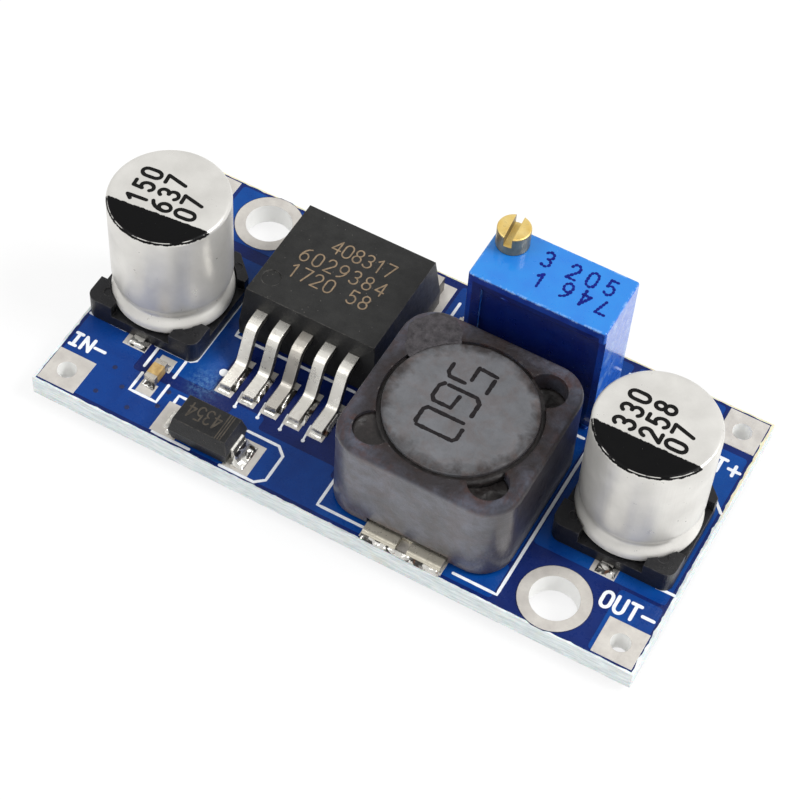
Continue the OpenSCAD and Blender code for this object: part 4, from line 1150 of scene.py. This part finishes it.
def make_glue():
    """Glue round the drum core and in the corner pockets, deep, hollow or brim-full."""
    core_low, core_high = mm_box("inductor_core")
    shield_low, shield_high = mm_box("inductor_shield")
    cx, cy = middle_of("inductor_core").xy
    core_r = (core_high.x - core_low.x) / 2
    core = (cx, cy, core_r + 0.02)
    brim = shield_high.z
    dark, crumbly = Shapes(), Shapes()
    for turn, (sunk, rough) in GLUE_DEPTHS.items():
        a = math.radians(turn)
        away = core_r + POCKET_OFFSET
        centre = (cx + away * math.cos(a), cy + away * math.sin(a))
        rings = [pocket_ring(centre, POCKET_FILL_R * (1 - level / 8.5), core, brim - sunk, rough,
                             brim - 0.01, turn) for level in range(9)]
        floor = [(x, y, shield_low.z + 1.0) for x, y, _ in rings[0]]
        smeared = turn == SMEARED_POCKET
        (crumbly if smeared else dark).loft([floor] + rings)
        if smeared:
            crumbly.loft(glue_smear(centre, core, brim))
    rings = []
    for gap, z in COLLAR:
        r = core_r + gap
        uneven = 0.12 if z > -1 else 0
        rings.append([(cx + r * c, cy + r * s, brim + z + uneven * wobble(c * 3, s * 3, 2.0))
                      for c, s in circle(0, 0, 1, 96)])
    dark.loft(rings + rings[:1], closed_ends=False)
    glue = dark.piece("pocket_glue", "dark_glue", "dark_glue", smooth=True)
    crumbly.piece("crumbly_glue", "crumbly_glue", "dark_glue", smooth=True)
    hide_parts("inductor_glue")


def glue_smear(centre, core, brim):
    """Thin wrinkled glue spread over the shield round the pocket that it fills."""
    rings = []
    for share, lift in ((1.0, -0.02), (0.97, 0.01), (0.85, 0.05), (0.6, 0.07), (0.3, 0.06), (0.04, 0.06)):
        ring = []
        for c, s in circle(0, 0, 1):
            reach = 1.9 + 0.5 * wobble(c * 1.3, s * 1.3, 6.0) + 0.15 * wobble(c * 5, s * 5, 8.0)
            x, y = clear_of(core, centre[0] + reach * share * c, centre[1] + reach * share * s)
            z = lift + 0.04 * wobble(x * 2.2, y * 2.2, 4.0) * (lift > 0.02)
            ring.append((x, y, brim + z))
        rings.append(ring)
    return rings


def clear_of(core, x, y):
    """The place itself, or the nearest one outside the core."""
    cx, cy, core_r = core
    gap = math.hypot(x - cx, y - cy)
    if gap < core_r:
        return cx + (x - cx) * core_r / gap, cy + (y - cy) * core_r / gap
    return x, y


def pocket_ring(centre, r, core, level, rough, brim, seed):
    """Ring of the glue's skin in one pocket, kept clear of the core and below the brim."""
    ring = []
    for x, y in circle(*centre, r, 36):
        x, y = clear_of(core, x, y)
        z = level - 0.2 * (1 - (r / POCKET_FILL_R) ** 2) * min(1.0, (brim - level) * 4)
        z += rough * (wobble(x * 1.6, y * 1.6, seed) + 0.5 * wobble(x * 4.5, y * 4.5, seed + 3.0))
        ring.append((x, y, min(z, brim)))
    return ring


# ---- floor

FLOOR_HALF_M = 1.2
FLOOR_GLOW = 0.8


def make_floor():
    """White table: lit paper, brightened towards plain white where the eye or a gloss sees it."""
    s = Surface("white_floor", Roughness=0.85, Specular_IOR_Level=0.1)
    paper = s.mix(s.drift(0, 1, 0.05, 2), (246, 246, 246), (248, 248, 248))
    s.set("Base Color", paper)
    rays = s.node("LightPath").outputs
    seen = s.math("MAXIMUM", rays["Is Camera Ray"],
                  s.math("MAXIMUM", rays["Is Glossy Ray"], rays["Is Transmission Ray"]))
    white = s.node("Emission").outputs[0]
    blend = s.node("MixShader", {0: s.times(seen, FLOOR_GLOW), 1: s.shader.outputs[0], 2: white})
    s.link(blend.outputs[0], s.tree.nodes["Material Output"].inputs["Surface"])
    mesh = bpy.data.meshes.new("floor")
    corners = rectangle(-FLOOR_HALF_M, -FLOOR_HALF_M, FLOOR_HALF_M, FLOOR_HALF_M)
    mesh.from_pydata([(x, y, 0) for x, y in corners], [], [(0, 1, 2, 3)])
    mesh.materials.append(s.material)
    floor = bpy.data.objects.new("floor", mesh)
    scene.collection.objects.link(floor)


make_camera()
make_lights()
dress_nodes()
make_floor()
make_board()
make_legend()
make_solder()
make_capacitor("input", ("150", "637", "07"))
make_capacitor("output", ("330", "258", "07"))
make_regulator_marking()
make_inductor_marking()
make_glue()
make_trimmer_marking()
make_diode_marking()
